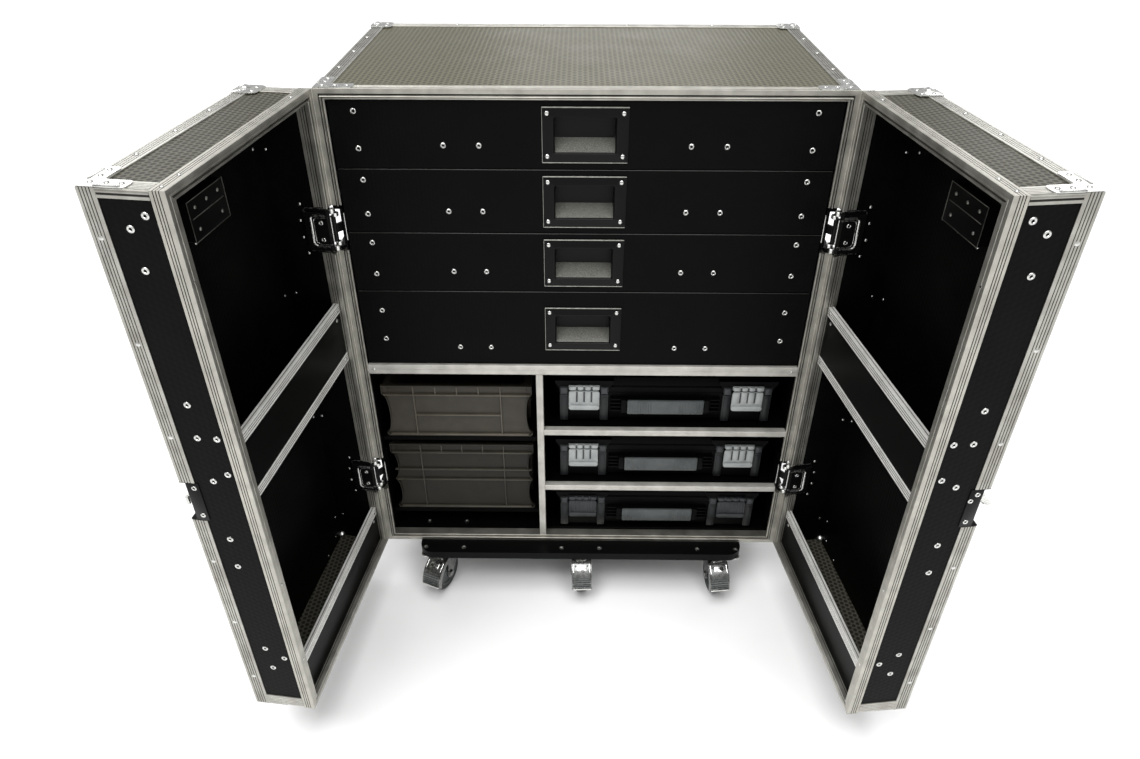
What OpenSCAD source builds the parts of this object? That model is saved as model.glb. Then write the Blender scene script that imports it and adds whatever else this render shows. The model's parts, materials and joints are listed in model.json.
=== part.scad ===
// Two-door workshop flight case on castors: four drawers over two bays,
// with storage bins on the left and tool cases on the right.
// Each door is a deep tray of its own and stands open at rest.

/* [Body] */
// Outside width of the body
body_w = 1000; // [980:10:1040]
// Outside height of the body, without its castors
body_h = 1150; // [1140:5:1180]
// Outside depth of the body, without its doors
body_d = 560; // [540:10:620]
// Thickness of the laminated panels
panel_t = 9; // [8:1:10]
// Height of the bays below the drawers
bay_h = 545; // [535:5:550]
// Height of one drawer front with its gap
drawer_pitch = 133.35; // [130:0.05:134]

/* [Doors] */
// Outside depth of a door
door_d = 132; // [120:2:150]
// Angle that the doors stand open
door_open = 97; // [85:1:100]
// Height of the underside of the door's middle shelf
door_shelf_z = 569; // [500:1:600]
// Height of the middle lip
mid_lip_h = 138; // [80:1:160]
// Height of the bottom lip above the door's base
low_lip_h = 109; // [60:1:130]

/* [Aluminium] */
// Wall thickness of the extrusions
wall = 2; // [1.5:0.5:2]
// Width of the outer angle's flanges
flange = 30; // [26:1:34]
// Width of the closure frame's mating face
face_w = 20; // [20:1:22]
// Width of the closure frame's outer flange
closure_flange = 24; // [20:1:26]
// Radius of the outer edges
edge_r = 5; // [4:0.5:6]

/* [Castors] */
// Thickness of the castor board
board_t = 21; // [18:1:27]
// Overall height of a castor
castor_h = 128; // [128:1:140]
// Wheel diameter
wheel_dia = 100; // [96:2:102]
// How far the board stands out in front of the body
board_out = 45; // [40:1:60]

/* [Hidden] */
$fn = 64;
ground = board_t + castor_h;          // height of the body's underside
hinge_gap = 0.5;                      // half the gap between the mating faces
door_w = body_w / 2 - 0.75;
front_y = (door_w * sin(door_open) - body_d) / 2;
inner_w = body_w - 2 * (wall + panel_t);
inner_a = wall + panel_t;             // outer face to a panel's inner face
board_half = body_w / 2 - inner_a - wall - 0.2;
opening_top = body_h - face_w;
tongue_a = 13;                        // outer face to the tongue
tongue_t = 2;
tongue_h = 5;
groove_deep = tongue_h + 1.5;
inner_flange = 30;
floor_z = inner_a + wall;             // top of the floor's liner
sill_z = 20.2;                        // just over the closure frame
web_t = 3;

hinge_z = [226, 875];
hinge_h = 97;
pan_h = 80;
pan_d = 46;
pan_depth = 18;
sheet = 1.5;
knuckle_r = 4.5;
pin_r = 2.5;
running = 0.06;

latch_z = [535, 622];
latch_pan_w = 52;
latch_pan_depth = 14;
wing_u = door_w - 24;                 // hinge line to the wing's spindle

divider_x = [-105, -89];
case_shelf_z = [175, 348];
bin_shelf_z = [58, 296];
trim_h = 15;
trim_reach = 17;

pull_w = 166;
pull_h = 108;
pull_open = [116, 68];
front_t = 10;
front_in = 8;                         // joint plane to the drawer fronts
tray_half = 463;
tray_back = 520;
slide_h = 45;

bin_w = 356;
bin_d = 400;
bin_h = [210, 148];
bin_x = -296;
bin_y = 46;
case_w = 515;
case_d = 400;
case_base_h = 86;
case_h = 123;
case_x = 195;
case_y = 33;
latch_x = 190;                        // case centre to each latch
latch_w = 72;
latch_axis_z = 92;

board_w = 826;
board_r = 35;
castor_x = 350;
castor_turn = [[-24, 3, 7], [12, -8, 18]];
castor_trail = 31;
bolt_x = 98;
bolt_y = 80;
bolt_sunk = 1.9;
fork_gap = 38;                        // between the cheeks
wheel_w = 32;
axle_r = 6;

SIDES = ["left", "right"];

// ---- placing ----

// the body's own frame: x from its middle, y from the joint plane, z from its underside
module on_body() translate([0, front_y, ground]) children();

// a door's own frame: x from the hinge line, y towards the front when shut, z from its underside
module on_left_door()
    translate([-body_w / 2, front_y - hinge_gap, ground])
        rotate([0, 0, -door_open]) translate([0, -hinge_gap, 0]) mirror([0, 1, 0]) children();

module on_door(side) {
    if (side == "left") on_left_door() children();
    else mirror([1, 0, 0]) on_left_door() children();
}

// ---- shared shapes ----

module box(from, to) translate(from) cube(to - from);

module round_rect(size, r) {
    square([size.x - 2 * r, size.y], center = true);
    square([size.x, size.y - 2 * r], center = true);
    for (x = [-1, 1], y = [-1, 1])
        translate([x * (size.x / 2 - r), y * (size.y / 2 - r)]) circle(r);
}

// a prism along y over the rectangle x 0..w, z 0..h with round corners
module round_prism(w, h, r, from, to)
    translate([w / 2, to, h / 2]) rotate([90, 0, 0])
        linear_extrude(to - from) round_rect([w, h], r);

module round_block(w, d, h, r) {
    intersection() {
        round_prism(w, h, r, 0, d);
        translate([w / 2, d / 2, 0]) linear_extrude(h) round_rect([w, d], r);
        translate([0, d / 2, h / 2]) rotate([90, 0, 90])
            linear_extrude(w) round_rect([d, h], r);
    }
}

// the four mitred quarters of a frame round the rectangle x 0..w, z 0..h
module mitred(w, h, reach, from, to) {
    gap = 0.15;
    outlines = [
        [[0, gap], [reach, reach + gap], [reach, h - reach - gap], [0, h - gap]],
        [[w, gap], [w - reach, reach + gap], [w - reach, h - reach - gap], [w, h - gap]],
        [[gap, 0], [reach + gap, reach], [w - reach - gap, reach], [w - gap, 0]],
        [[gap, h], [reach + gap, h - reach], [w - reach - gap, h - reach], [w - gap, h]]
    ];
    for (outline = outlines)
        intersection() {
            children();
            translate([0, to, 0]) rotate([90, 0, 0]) linear_extrude(to - from) polygon(outline);
        }
}

// rectangular ring between the insets a0 and a1, from y = b0 to b1
module ring(w, h, a0, a1, b0, b1)
    difference() {
        box([a0, b0, a0], [w - a0, b1, h - a0]);
        box([a1, b0 - 1, a1], [w - a1, b1 + 1, h - a1]);
    }

// outer angle extrusions of a tray whose open side is y = 0 and whose closed side is y = d
module angle_cage(w, d, h) {
    module shell()
        difference() {
            round_block(w, d, h, edge_r);
            box([wall, -1, wall], [w - wall, d - wall, h - wall]);
            box([flange, d - wall - 1, flange], [w - flange, d + 1, h - flange]);
            box([-1, -1, flange], [w + 1, d - flange, h - flange]);
            box([flange, -1, -1], [w - flange, d - flange, h + 1]);
            box([-1, -1, -1], [w + 1, closure_flange + 0.2, h + 1]);
        }
    mitred(w, h, flange + 1, d - flange, d + 1) shell();
    intersection() {
        shell();
        box([-1, 0, -1], [w + 1, d - flange - 0.3, h + 1]);
    }
}

// closure extrusions round the open side, with a tongue or a groove
module closure_frame(w, h, grooved) {
    groove_a = [tongue_a - 0.6, tongue_a + tongue_t + 1.2];
    mitred(w, h, 40, -tongue_h - 1, inner_flange + 1)
        difference() {
            union() {
                intersection() {
                    union() {
                        ring(w, h, 0, face_w, 0, web_t);
                        ring(w, h, 0, wall, 0, closure_flange);
                    }
                    round_prism(w, h, edge_r, -1, inner_flange);
                }
                ring(w, h, inner_a, inner_a + wall, web_t - 0.5, inner_flange);
                if (grooved) ring(w, h, inner_a, face_w - 2, web_t - 0.5, groove_deep + 2);
                if (!grooved) ring(w, h, tongue_a, tongue_a + tongue_t, -tongue_h, web_t);
            }
            // the groove runs out at a door's free side
            if (grooved) ring(w + 100, h, groove_a[0], groove_a[1], -1, groove_deep);
        }
}

// where the hinges need the extrusions cut away, beside x = 0
module hinge_notches(reach = face_w)
    for (z = hinge_z)
        box([-1, -tongue_h - 2, z - hinge_h / 2 - 0.5],
            [reach + 1, inner_flange + 2, z + hinge_h / 2 + 0.5]);

// the hinge pans' way through the panel beside x = 0
module pan_holes()
    for (z = hinge_z)
        box([-1, -1, z - pan_h / 2], [pan_depth, 6 + pan_d, z + pan_h / 2]);

module on_four(spacing) for (x = [-1, 1], z = [-1, 1])
    translate([x * spacing.x / 2, 0, z * spacing.y / 2]) children();

// dome-topped rivet standing on the plane z = 0
module rivet(r = 4) {
    cylinder(h = 1, r = r);
    translate([0, 0, 1]) cylinder(h = 1.2, r1 = r, r2 = r * 0.55);
}

// ring-shaped sleeve nut standing on the plane z = 0
module sleeve_nut()
    difference() {
        cylinder(h = 1.6, r = 6);
        translate([0, 0, 0.6]) cylinder(h = 2, r = 2.8);
    }

// ---- body ----

module side_panels() color("#101112") on_body() {
    for (side = [0, 1])
        translate([-body_w / 2, 0, 0]) difference() {
            translate([side * (body_w - panel_t - 2 * wall) + wall, web_t, wall])
                cube([panel_t, body_d - web_t - wall, body_h - 2 * wall]);
            if (side == 0) pan_holes();
            else translate([body_w, 0, 0]) mirror([1, 0, 0]) pan_holes();
        }
}

module flat_panel(from_y, to_y, from_z, to_z)
    box([-inner_w / 2, from_y, from_z], [inner_w / 2, to_y, to_z]);

module top_panel() color("#3a3733") on_body()
    flat_panel(web_t, body_d - wall, body_h - inner_a, body_h - wall);

module base_panel() color("#101112") on_body() {
    flat_panel(web_t, body_d - wall, wall, inner_a);
    flat_panel(inner_flange + 0.2, body_d - inner_a - 0.1, inner_a - 0.5, floor_z);
}

module back_panel() color("#101112") on_body()
    flat_panel(body_d - inner_a, body_d - wall, inner_a, body_h - inner_a);

module body_edging() color("#b9b8b2") on_body()
    translate([-body_w / 2, 0, 0]) angle_cage(body_w, body_d, body_h);

module body_closure_frame() color("#c4c2bb") on_body()
    translate([-body_w / 2, 0, 0]) difference() {
        closure_frame(body_w, body_h, false);
        hinge_notches();
        translate([body_w, 0, 0]) mirror([1, 0, 0]) hinge_notches();
    }

// deck under the drawers, divider between the bays, case shelves and bin shelves
module bay_boards() color("#0d0d0e") on_body() {
    back = body_d - inner_a;
    low = floor_z + 0.2;
    mid = (divider_x[0] + divider_x[1]) / 2;
    box([-board_half, web_t, bay_h - 22], [board_half, back, bay_h - 2]);
    box([mid - 6, web_t, low], [mid + 6, back, bay_h - 24.2]);
    box([mid - 6, trim_reach + 0.2, low], [mid + 6, back, bay_h - 22.1]);
    for (z = case_shelf_z) difference() {
        union() {
            box([divider_x[1] + 0.2, web_t, z + 2.1], [board_half, back, z + trim_h - 2.1]);
            box([mid + 6.2, trim_reach + 0.2, z + 2.1], [board_half, back, z + trim_h]);
        }
        box([body_w / 2 - pan_depth - 0.5, 0, z], [body_w / 2, 6 + pan_d + 0.5, z + trim_h + 1]);
    }
    for (z = bin_shelf_z)
        box([-board_half, bin_y - 1, z], [mid - 6.2, back, z + 12]);
    // raised floor, level with the sill, under the lowest tool case
    box([mid + 6.2, inner_flange + 1, floor_z], [board_half, back - 0.2, sill_z]);
}

// square channel over a board's front edge, from z = 0 to h along x
module channel(len, h) difference() {
    box([0, 0.8, 0], [len, trim_reach, h]);
    box([-1, 0.8 + wall, wall], [len + 1, trim_reach + 1, h - wall]);
}

module bay_trims() color("#c4c2bb") on_body() {
    half = body_w / 2 - face_w - 0.2;
    translate([-half, 0, bay_h - 24]) channel(2 * half, 24);
    for (z = case_shelf_z)
        translate([divider_x[1] + 0.2, 0, z]) channel(half - divider_x[1] - 0.2, trim_h);
    translate([divider_x[0], 0, bay_h - 24.2]) rotate([0, 90, 0])
        channel(bay_h - 24.4 - face_w, divider_x[1] - divider_x[0]);
}

// pressed corner with a ball, for the corner at the origin of a block in +x +y +z
module ball_corner() {
    difference() {
        union() {
            translate([-sheet, -sheet, -sheet]) cube(50);
            translate([10, 10, 10]) sphere(r = 15);
        }
        cube(60);
    }
    for (turn = [[0, 0, 0], [90, 0, 90], [0, -90, -90]])
        rotate(turn) for (at = [[14, 40], [40, 14], [40, 40]])
            translate([at.x, at.y, -sheet]) mirror([0, 0, 1]) rivet();
}

// flat riveted plate in the corner of the top face, whose corner is at the origin
module corner_brace() {
    linear_extrude(sheet) difference() {
        square([74, 74]);
        translate([28, 28]) square([60, 60]);
    }
    for (at = [[14, 14], [36, 14], [60, 14], [14, 36], [14, 60]])
        translate([at.x, at.y, sheet]) rivet();
}

module body_corners() color("#cfcfcd") on_body() {
    for (x = [0, 1], z = [0, 1]) mirror([x, 0, 0])
        translate([-body_w / 2, body_d, z * body_h]) mirror([0, 1, 0]) mirror([0, 0, z])
            ball_corner();
    for (x = [0, 1]) mirror([x, 0, 0])
        translate([-body_w / 2, 0, body_h]) corner_brace();
    for (x = [0, 1]) mirror([x, 0, 0])
        translate([-body_w / 2, 0, 0]) mirror([0, 0, 1]) corner_brace();
    for (x = [-1, 1], y = [150, 280, 410])
        translate([x * (body_w / 2 - 15), y, body_h]) rivet();
}

function drawer_z(n) = opening_top - n * drawer_pitch;
function drawer_front_h(n) = n < 4 ? drawer_pitch : drawer_z(3) - bay_h - 1;
function drawer_low(n) = n < 4 ? drawer_z(n) : bay_h + 1;
function slide_z(n) = drawer_low(n) + 50;

module drawer_runners() color("#8f9294") on_body()
    for (n = [1:4], x = [0, 1]) mirror([x, 0, 0])
        box([tray_half + 7, 60, slide_z(n) - slide_h / 2],
            [inner_w / 2, tray_back, slide_z(n) + slide_h / 2]);

// one leaf in its pan, for the axis at x = 0 and the material in +x +y
module hinge_leaf(odd) {
    half = pan_h / 2;
    // pan through the panel
    difference() {
        box([wall - sheet, 6, -half], [pan_depth, 6 + pan_d, half]);
        box([-1, 5, -half + sheet], [pan_depth - sheet, 6 + pan_d - sheet, half - sheet]);
    }
    // outer plate on the panel
    difference() {
        box([wall - sheet, 6, -hinge_h / 2], [wall, 60, hinge_h / 2]);
        box([-1, 5, -half], [wall + 1, 6 + pan_d, half]);
    }
    // leaf on the pan's floor
    box([pan_depth - sheet - 2.6, 12, -30], [pan_depth - sheet - 0.1, 44, 30]);
    // knuckles round the axis
    spans = odd ? [[-9, 9]] : [[-28, -9.5], [9.5, 28]];
    for (span = spans) translate([0, 0, span[0]]) difference() {
        linear_extrude(span[1] - span[0]) {
            translate([0, -hinge_gap]) circle(knuckle_r);
            polygon([[0, 2], [1, -hinge_gap], [5, 1.5], [pan_depth - 4.1, 12], [pan_depth - 4.1, 15],
                [10, 15]]);
        }
        if (!odd) translate([0, -hinge_gap, -1]) cylinder(h = 40, r = pin_r + running);
    }
    if (odd) translate([0, -hinge_gap, -32]) cylinder(h = 64, r = pin_r);
}

module body_hinge_leaves() color("#b4b4b2") on_body()
    for (x = [0, 1], z = hinge_z) mirror([x, 0, 0])
        translate([-body_w / 2, 0, z]) hinge_leaf(true);

// ---- castors ----

function castor_y(row) = row == 0 ? 14 : body_d - 60;
function castor_at(n) = [(n % 3 - 1) * castor_x, castor_y(floor(n / 3)), -board_t];

module castor_board() color("#101112") on_body() difference() {
    translate([0, (body_d - 5 - board_out) / 2, -board_t]) linear_extrude(board_t)
        round_rect([board_w, body_d - 5 + board_out], board_r);
    for (n = [0:2], x = [-1, 1])
        translate(castor_at(n) + [x * bolt_x / 2, -bolt_y / 2, board_t - bolt_sunk])
            cylinder(h = bolt_sunk + 1, r = 7.5);
}

module castor_plates() color("#b9bab8") on_body()
    for (n = [0:5]) translate(castor_at(n)) {
        translate([0, 0, -4]) linear_extrude(4) round_rect([bolt_x + 24, bolt_y + 24], 8);
        translate([0, 0, -9]) cylinder(h = 5, r = 26);
        // front bolts are sunk in the board, the others show on the floor beside the divider
        for (x = [-1, 1]) translate([x * bolt_x / 2, -bolt_y / 2, board_t - bolt_sunk])
            if (n < 3) sleeve_nut();
        for (x = [-1, 1], y = n < 3 ? [1] : [-1, 1])
            if (castor_at(n).x + x * bolt_x / 2 < divider_x[0])
                translate([x * bolt_x / 2, y * bolt_y / 2, board_t + floor_z]) sleeve_nut();
        for (x = [-1, 1], y = [-1, 1])
            translate([x * bolt_x / 2, y * bolt_y / 2, -9]) cylinder(h = 5, r = 7, $fn = 6);
    }

// a castor's own frame: swivel axis at the origin, the ground at z = 0, the wheel towards -y
module on_castor(n)
    on_body() translate([castor_at(n).x, castor_at(n).y, -ground])
        rotate([0, 0, castor_turn[floor(n / 3)][n % 3]]) children();

module castor_fork(n) on_castor(n) {
    axle_z = wheel_dia / 2;
    top = castor_h - 9.3;
    cheek_x = fork_gap / 2;
    color("#8d8f8e") {
        // swivel head and crown over the wheel
        translate([0, 0, top - 9]) cylinder(h = 9, r = 25);
        box([-cheek_x - 3, -30, top - 13], [cheek_x + 3, 22, top - 9]);
        // cheeks, cut from one outline
        for (x = [-cheek_x - 3, cheek_x]) translate([x, 0, 0]) rotate([90, 0, 90])
            linear_extrude(3) difference() {
                polygon([[-30, top - 9], [22, top - 9], [-castor_trail + 13, axle_z - 9],
                    [-castor_trail, axle_z - 13], [-castor_trail - 13, axle_z - 9]]);
                translate([-castor_trail, axle_z]) circle(axle_r + 0.1);
            }
        // axle with its two nuts
        translate([-cheek_x - 7, -castor_trail, axle_z]) rotate([0, 90, 0])
            cylinder(h = fork_gap + 14, r = axle_r);
        for (x = [-cheek_x - 8, cheek_x + 3])
            translate([x, -castor_trail, axle_z]) rotate([0, 90, 0]) cylinder(h = 5, r = 9.5, $fn = 6);
    }
    // brake pedal over the wheel
    color("#c9cbca") translate([0, -castor_trail, axle_z]) rotate([90, 0, 90])
        translate([0, 0, -26]) linear_extrude(52)
            polygon([[2, wheel_dia / 2 + 9], [-6, wheel_dia / 2 + 9], [-46, 40], [-64, 22], [-66, 24.5],
                [-48, 43.5], [-6, wheel_dia / 2 + 13], [2, wheel_dia / 2 + 13]]);
}

module castor_wheel(n) color("#1b1b1c") on_castor(n) {
    tread_r = wheel_dia / 2;
    translate([0, -castor_trail, tread_r]) rotate([0, 90, 0])
        rotate_extrude() polygon([
            [axle_r + running, -wheel_w / 2 - 2], [12, -wheel_w / 2 - 2], [14, -wheel_w / 2 + 2],
            [tread_r - 14, -wheel_w / 2 + 3], [tread_r - 12, -wheel_w / 2], [tread_r - 4, -wheel_w / 2],
            [tread_r, -wheel_w / 2 + 5], [tread_r, wheel_w / 2 - 5], [tread_r - 4, wheel_w / 2],
            [tread_r - 12, wheel_w / 2], [tread_r - 14, wheel_w / 2 - 3], [14, wheel_w / 2 - 2],
            [12, wheel_w / 2 + 2], [axle_r + running, wheel_w / 2 + 2]
        ]);
}

// ---- doors ----

module latch_space(depth = latch_pan_depth)
    box([door_w - latch_pan_w, door_d - depth, latch_z[0]], [door_w + 1, door_d + 1, latch_z[1]]);

module pull_hole(at, depth)
    translate(at) box([-pull_open.x / 2 - 2, -1, -pull_open.y / 2 - 2],
        [pull_open.x / 2 + 2, depth, pull_open.y / 2 + 2]);

door_pull_at = [door_w / 2, 0, 1014];

module door_front(side) color("#101112") on_door(side)
    difference() {
        box([inner_a, door_d - inner_a, inner_a], [door_w - inner_a, door_d - wall, body_h - inner_a]);
        latch_space();
        translate([0, door_d - 20, 0]) pull_hole(door_pull_at, 30);
    }

module door_sides(side) color("#101112") on_door(side)
    difference() {
        union() {
            box([wall, web_t, wall], [inner_a, door_d - wall, body_h - wall]);
            box([door_w - inner_a, groove_deep + 0.5, wall],
                [door_w - wall, door_d - wall, body_h - wall]);
            for (z = [wall, body_h - inner_a])
                box([inner_a + 0.1, web_t, z], [door_w - inner_a - 0.1, door_d - wall, z + panel_t]);
        }
        pan_holes();
        latch_space();
    }

module door_edging(side) color("#b9b8b2") on_door(side)
    difference() {
        angle_cage(door_w, door_d, body_h);
        box([door_w - flange - 1, door_d - flange - 1, latch_z[0] - 0.5],
            [door_w + 1, door_d + 1, latch_z[1] + 0.5]);
    }

module door_closure_frame(side) color("#c4c2bb") on_door(side)
    difference() {
        closure_frame(door_w, body_h, true);
        hinge_notches();
    }

lip_b = [16, 25];

module door_shelves(side) color("#0d0d0e") on_door(side) {
    ends = [inner_a + wall + 0.2, door_w - inner_a - wall - 0.2];
    deep = door_d - latch_pan_depth - 1;
    box([ends[0], lip_b[0], door_shelf_z], [ends[1], lip_b[1], door_shelf_z + mid_lip_h]);
    box([ends[0], lip_b[1] + 0.1, door_shelf_z + 2], [ends[1], deep, door_shelf_z + 2 + panel_t]);
    box([ends[0], lip_b[0], inner_a + wall + 0.2], [ends[1], lip_b[1], inner_a + wall + low_lip_h]);
}

// channel over a lip's edge: opening down when up is true
module lip_cap(z, up) {
    ends = [inner_a + wall + 0.4, door_w - inner_a - wall - 0.4];
    cap_h = 14;
    skin = 1.2;
    difference() {
        box([ends[0], lip_b[0] - skin - 0.1, up ? z + skin - cap_h : z - skin],
            [ends[1], lip_b[1] + skin + 0.1, up ? z + skin + 0.1 : z + cap_h - skin]);
        box([0, lip_b[0] - 0.1, up ? z - cap_h - 1 : z - 0.1],
            [door_w, lip_b[1] + 0.1, up ? z + 0.1 : z + cap_h + 1]);
    }
}

module door_lip_trims(side) color("#c4c2bb") on_door(side) {
    lip_cap(door_shelf_z + mid_lip_h, true);
    lip_cap(inner_a + wall + low_lip_h, true);
    // plain strip under the middle lip's front edge
    box([inner_a + wall + 0.4, lip_b[0] - 1.4, door_shelf_z - 1],
        [door_w - inner_a - wall - 0.4, lip_b[0] - 0.1, door_shelf_z + 14]);
}

// sleeve nuts on the free side: [distance from the joint, height]
free_side_nuts = [
    [68, 1091], [66, 1027], [40, 1112], [69, 790], [70, 723], [36, 724], [66, 630], [36, 648],
    [70, 492], [72, 422], [71, 186], [67, 126], [36, 161]
];

module door_corners(side) color("#cfcfcd") on_door(side) {
    for (z = [0, 1]) translate([0, door_d, z * body_h]) mirror([0, 1, 0]) mirror([0, 0, z])
        ball_corner();
    for (z = [0, 1]) translate([door_w, door_d, z * body_h]) mirror([1, 0, 0]) mirror([0, 1, 0])
        mirror([0, 0, 1 - z]) corner_brace();
    for (at = free_side_nuts) translate([door_w - wall, at[0], at[1]]) rotate([0, 90, 0])
        sleeve_nut();
}

// recessed finger pull whose flange lies on the plane y = 0, seen from -y
module finger_pull(depth) difference() {
    union() {
        translate([0, 0, 0]) rotate([90, 0, 0])
            linear_extrude(2) round_rect([pull_w, pull_h], 3);
        box([-pull_open.x / 2 - sheet, 0, -pull_open.y / 2 - sheet],
            [pull_open.x / 2 + sheet, depth, pull_open.y / 2 + sheet]);
    }
    box([-pull_open.x / 2, -5, -pull_open.y / 2], [pull_open.x / 2, depth - sheet, pull_open.y / 2]);
}

module door_dishes(side) color("#17181a") on_door(side) {
    // outer pull, its flange on the front panel
    translate([door_pull_at.x, door_d - wall, door_pull_at.z]) rotate([0, 0, 180]) finger_pull(28);
    // latch pan with its plate on the free side
    difference() {
        box([door_w - latch_pan_w, door_d - latch_pan_depth, latch_z[0]],
            [door_w - wall, door_d, latch_z[1]]);
        box([door_w - latch_pan_w + sheet, door_d - latch_pan_depth + sheet, latch_z[0] + sheet],
            [door_w + 1, door_d + 1, latch_z[1] - sheet]);
    }
    difference() {
        box([door_w - wall, door_d - flange - 0.8, latch_z[0]],
            [door_w - 0.4, door_d - latch_pan_depth + sheet, latch_z[1]]);
        latch_space(-5);
    }
    // hook or spindle block
    if (side == "left")
        box([door_w - 26, door_d - latch_pan_depth + sheet, 566], [door_w - 6, door_d - 3, 592]);
    else
        translate([wing_u, door_d - latch_pan_depth + sheet, 578.5]) rotate([-90, 0, 0])
            cylinder(h = 5, r = 16);
}

module door_hinge_leaves(side) color("#b4b4b2") on_door(side)
    for (z = hinge_z) translate([0, 0, z]) hinge_leaf(false);

// folding key of the butterfly latch, unfolded
module latch_wing() color("#d2d2cf") on_door("right")
    translate([wing_u, door_d - latch_pan_depth + sheet + 5.3, 578.5]) rotate([-90, 0, 0]) {
        cylinder(h = 4, r = 12);
        translate([0, 1.25, 4]) rotate([90, 0, 0]) linear_extrude(2.5) difference() {
            union() {
                translate([-17, -0.5]) square([34, 12]);
                translate([0, 8]) circle(17);
            }
            translate([-30, -40]) square([60, 40]);
            translate([0, 15]) circle(4);
        }
    }

// ---- drawers ----

module drawer_box(n) color("#101112") on_body() {
    low = drawer_low(n);
    high = low + drawer_front_h(n);
    mid = [0, front_in - 1, (low + high) / 2];
    half = body_w / 2 - face_w - 1.5;
    tray_low = low + 14;
    tray_high = high - 22;
    difference() {
        box([-half, front_in, low + 1], [half, front_in + front_t, high - 1]);
        pull_hole(mid, 30);
    }
    difference() {
        box([-tray_half, front_in + front_t, tray_low], [tray_half, tray_back, tray_high]);
        box([-tray_half + panel_t, front_in + front_t + panel_t, tray_low + 6],
            [tray_half - panel_t, tray_back - panel_t, tray_high + 1]);
        box([-pull_open.x / 2 - 2, front_in, mid.z - pull_open.y / 2 - 2],
            [pull_open.x / 2 + 2, front_in + front_t + panel_t + 1, tray_high + 1]);
    }
    for (x = [0, 1]) mirror([x, 0, 0])
        box([tray_half + 0.2, 30, slide_z(n) - 17], [tray_half + 6.6, tray_back - 5, slide_z(n) + 17]);
}

// corner bolts at +43.5 and -27.5 from the front's middle, lower pairs nearer the pull
function front_bolts(n) = [
    for (x = [-1, 1]) each [
        [x * 432, 43.5], [x * 432, -27.5],
        [x * 270, n < 4 ? -21 : -48], [x * 202, n < 4 ? -21 : -48]
    ]
];

module drawer_pull(n) color("#1c1d1f") on_body() {
    mid_z = drawer_low(n) + drawer_front_h(n) / 2;
    translate([0, front_in, mid_z]) finger_pull(36);
    translate([0, front_in - 2, mid_z]) on_four([144, 82]) rotate([90, 0, 0]) rivet();
    for (at = front_bolts(n)) translate([at[0], front_in, mid_z + at[1]]) rotate([90, 0, 0])
        sleeve_nut();
}

// ---- bins and tool cases ----

// waisted ends, a rim round the top and a lip round the foot
module storage_bin(h) {
    end_t = 10;
    side_in = 13;
    rim_h = 26;
    cells = h > 180 ? 2 : 1;
    waist_h = (h - rim_h - 12) / cells;
    waist_r = (pow(waist_h / 2 - 4, 2) + pow(side_in, 2)) / (2 * side_in);
    difference() {
        union() {
            box([-bin_w / 2 + side_in, 4, 0], [bin_w / 2 - side_in, bin_d - 4, h]);
            box([-bin_w / 2, 0, 0], [bin_w / 2, bin_d, 7]);
            box([-bin_w / 2, 0, h - rim_h], [bin_w / 2, bin_d, h]);
            for (y = [0, bin_d - end_t]) difference() {
                box([-bin_w / 2, y, 3], [bin_w / 2, y + end_t, h - rim_h / 2]);
                for (x = [-1, 1], c = [0:cells - 1])
                    translate([x * (bin_w / 2 - side_in + waist_r), y - 1, 8 + waist_h * (c + 0.5)])
                        rotate([-90, 0, 0]) cylinder(h = end_t + 2, r = waist_r);
            }
        }
        box([-bin_w / 2 + side_in + 3, 12, 4], [bin_w / 2 - side_in - 3, bin_d - 12, h + 1]);
        // panels sunk between the ribs of the front
        for (x = [[-160, -112], [-104, 104], [112, 160]], c = [0:cells - 1])
            box([x[0], -1, 14 + waist_h * c], [x[1], 4, 2 + waist_h * (c + 1)]);
        for (x = [[-160, -110], [-102, -37], [-33, 33], [37, 102], [110, 160]])
            box([x[0], -1, h - 22], [x[1], 4, h - 5]);
    }
}

module lower_bin() color("#6a6862") on_body()
    translate([bin_x, bin_y, bin_shelf_z[0] + 12]) storage_bin(bin_h[0]);

module upper_bin() color("#7a776f") on_body()
    translate([bin_x, bin_y, bin_shelf_z[1] + 12]) storage_bin(bin_h[1]);

function case_low(n) = n == 3 ? sill_z : case_shelf_z[2 - n] + trim_h;
module on_case(n) on_body() translate([case_x, case_y, case_low(n)]) children();

module round_box(w, d, h, r) translate([0, d / 2, 0]) linear_extrude(h) round_rect([w, d], r);

module tool_case(n) color("#1a1b1d") on_case(n) {
    skin = 4;
    foot = 5;
    // base shell
    difference() {
        translate([0, 8, foot]) round_box(case_w - 16, case_d - 16, case_base_h - foot, 14);
        translate([0, 8 + skin, foot + skin])
            round_box(case_w - 16 - 2 * skin, case_d - 16 - 2 * skin, case_base_h, 10);
    }
    // lid shell
    difference() {
        translate([0, 4, case_base_h + 0.2]) round_box(case_w, case_d - 8, case_h - case_base_h - 0.2, 16);
        translate([0, 4 + skin + 4, case_base_h - 1])
            round_box(case_w - 2 * skin - 8, case_d - 16 - 2 * skin, case_h - case_base_h - skin + 1, 10);
    }
    // feet and the ribs that flank each latch
    for (x = [-1, 1], y = [40, case_d - 60])
        translate([x * 170, y, 0]) box([-12, 0, 0], [12, 20, foot + 1]);
    for (x = [-1, 1], s = [-1, 1])
        translate([x * latch_x + s * (latch_w / 2 + 11), 0, 0])
            box([-9.5, 0.2, 6], [9.5, 9, case_base_h - 2]);
    // handle: a bar on two ears
    difference() {
        box([-102, -16, 37], [102, 9, 75]);
        box([-88, -8, 36], [88, 10, 76]);
    }
}

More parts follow.
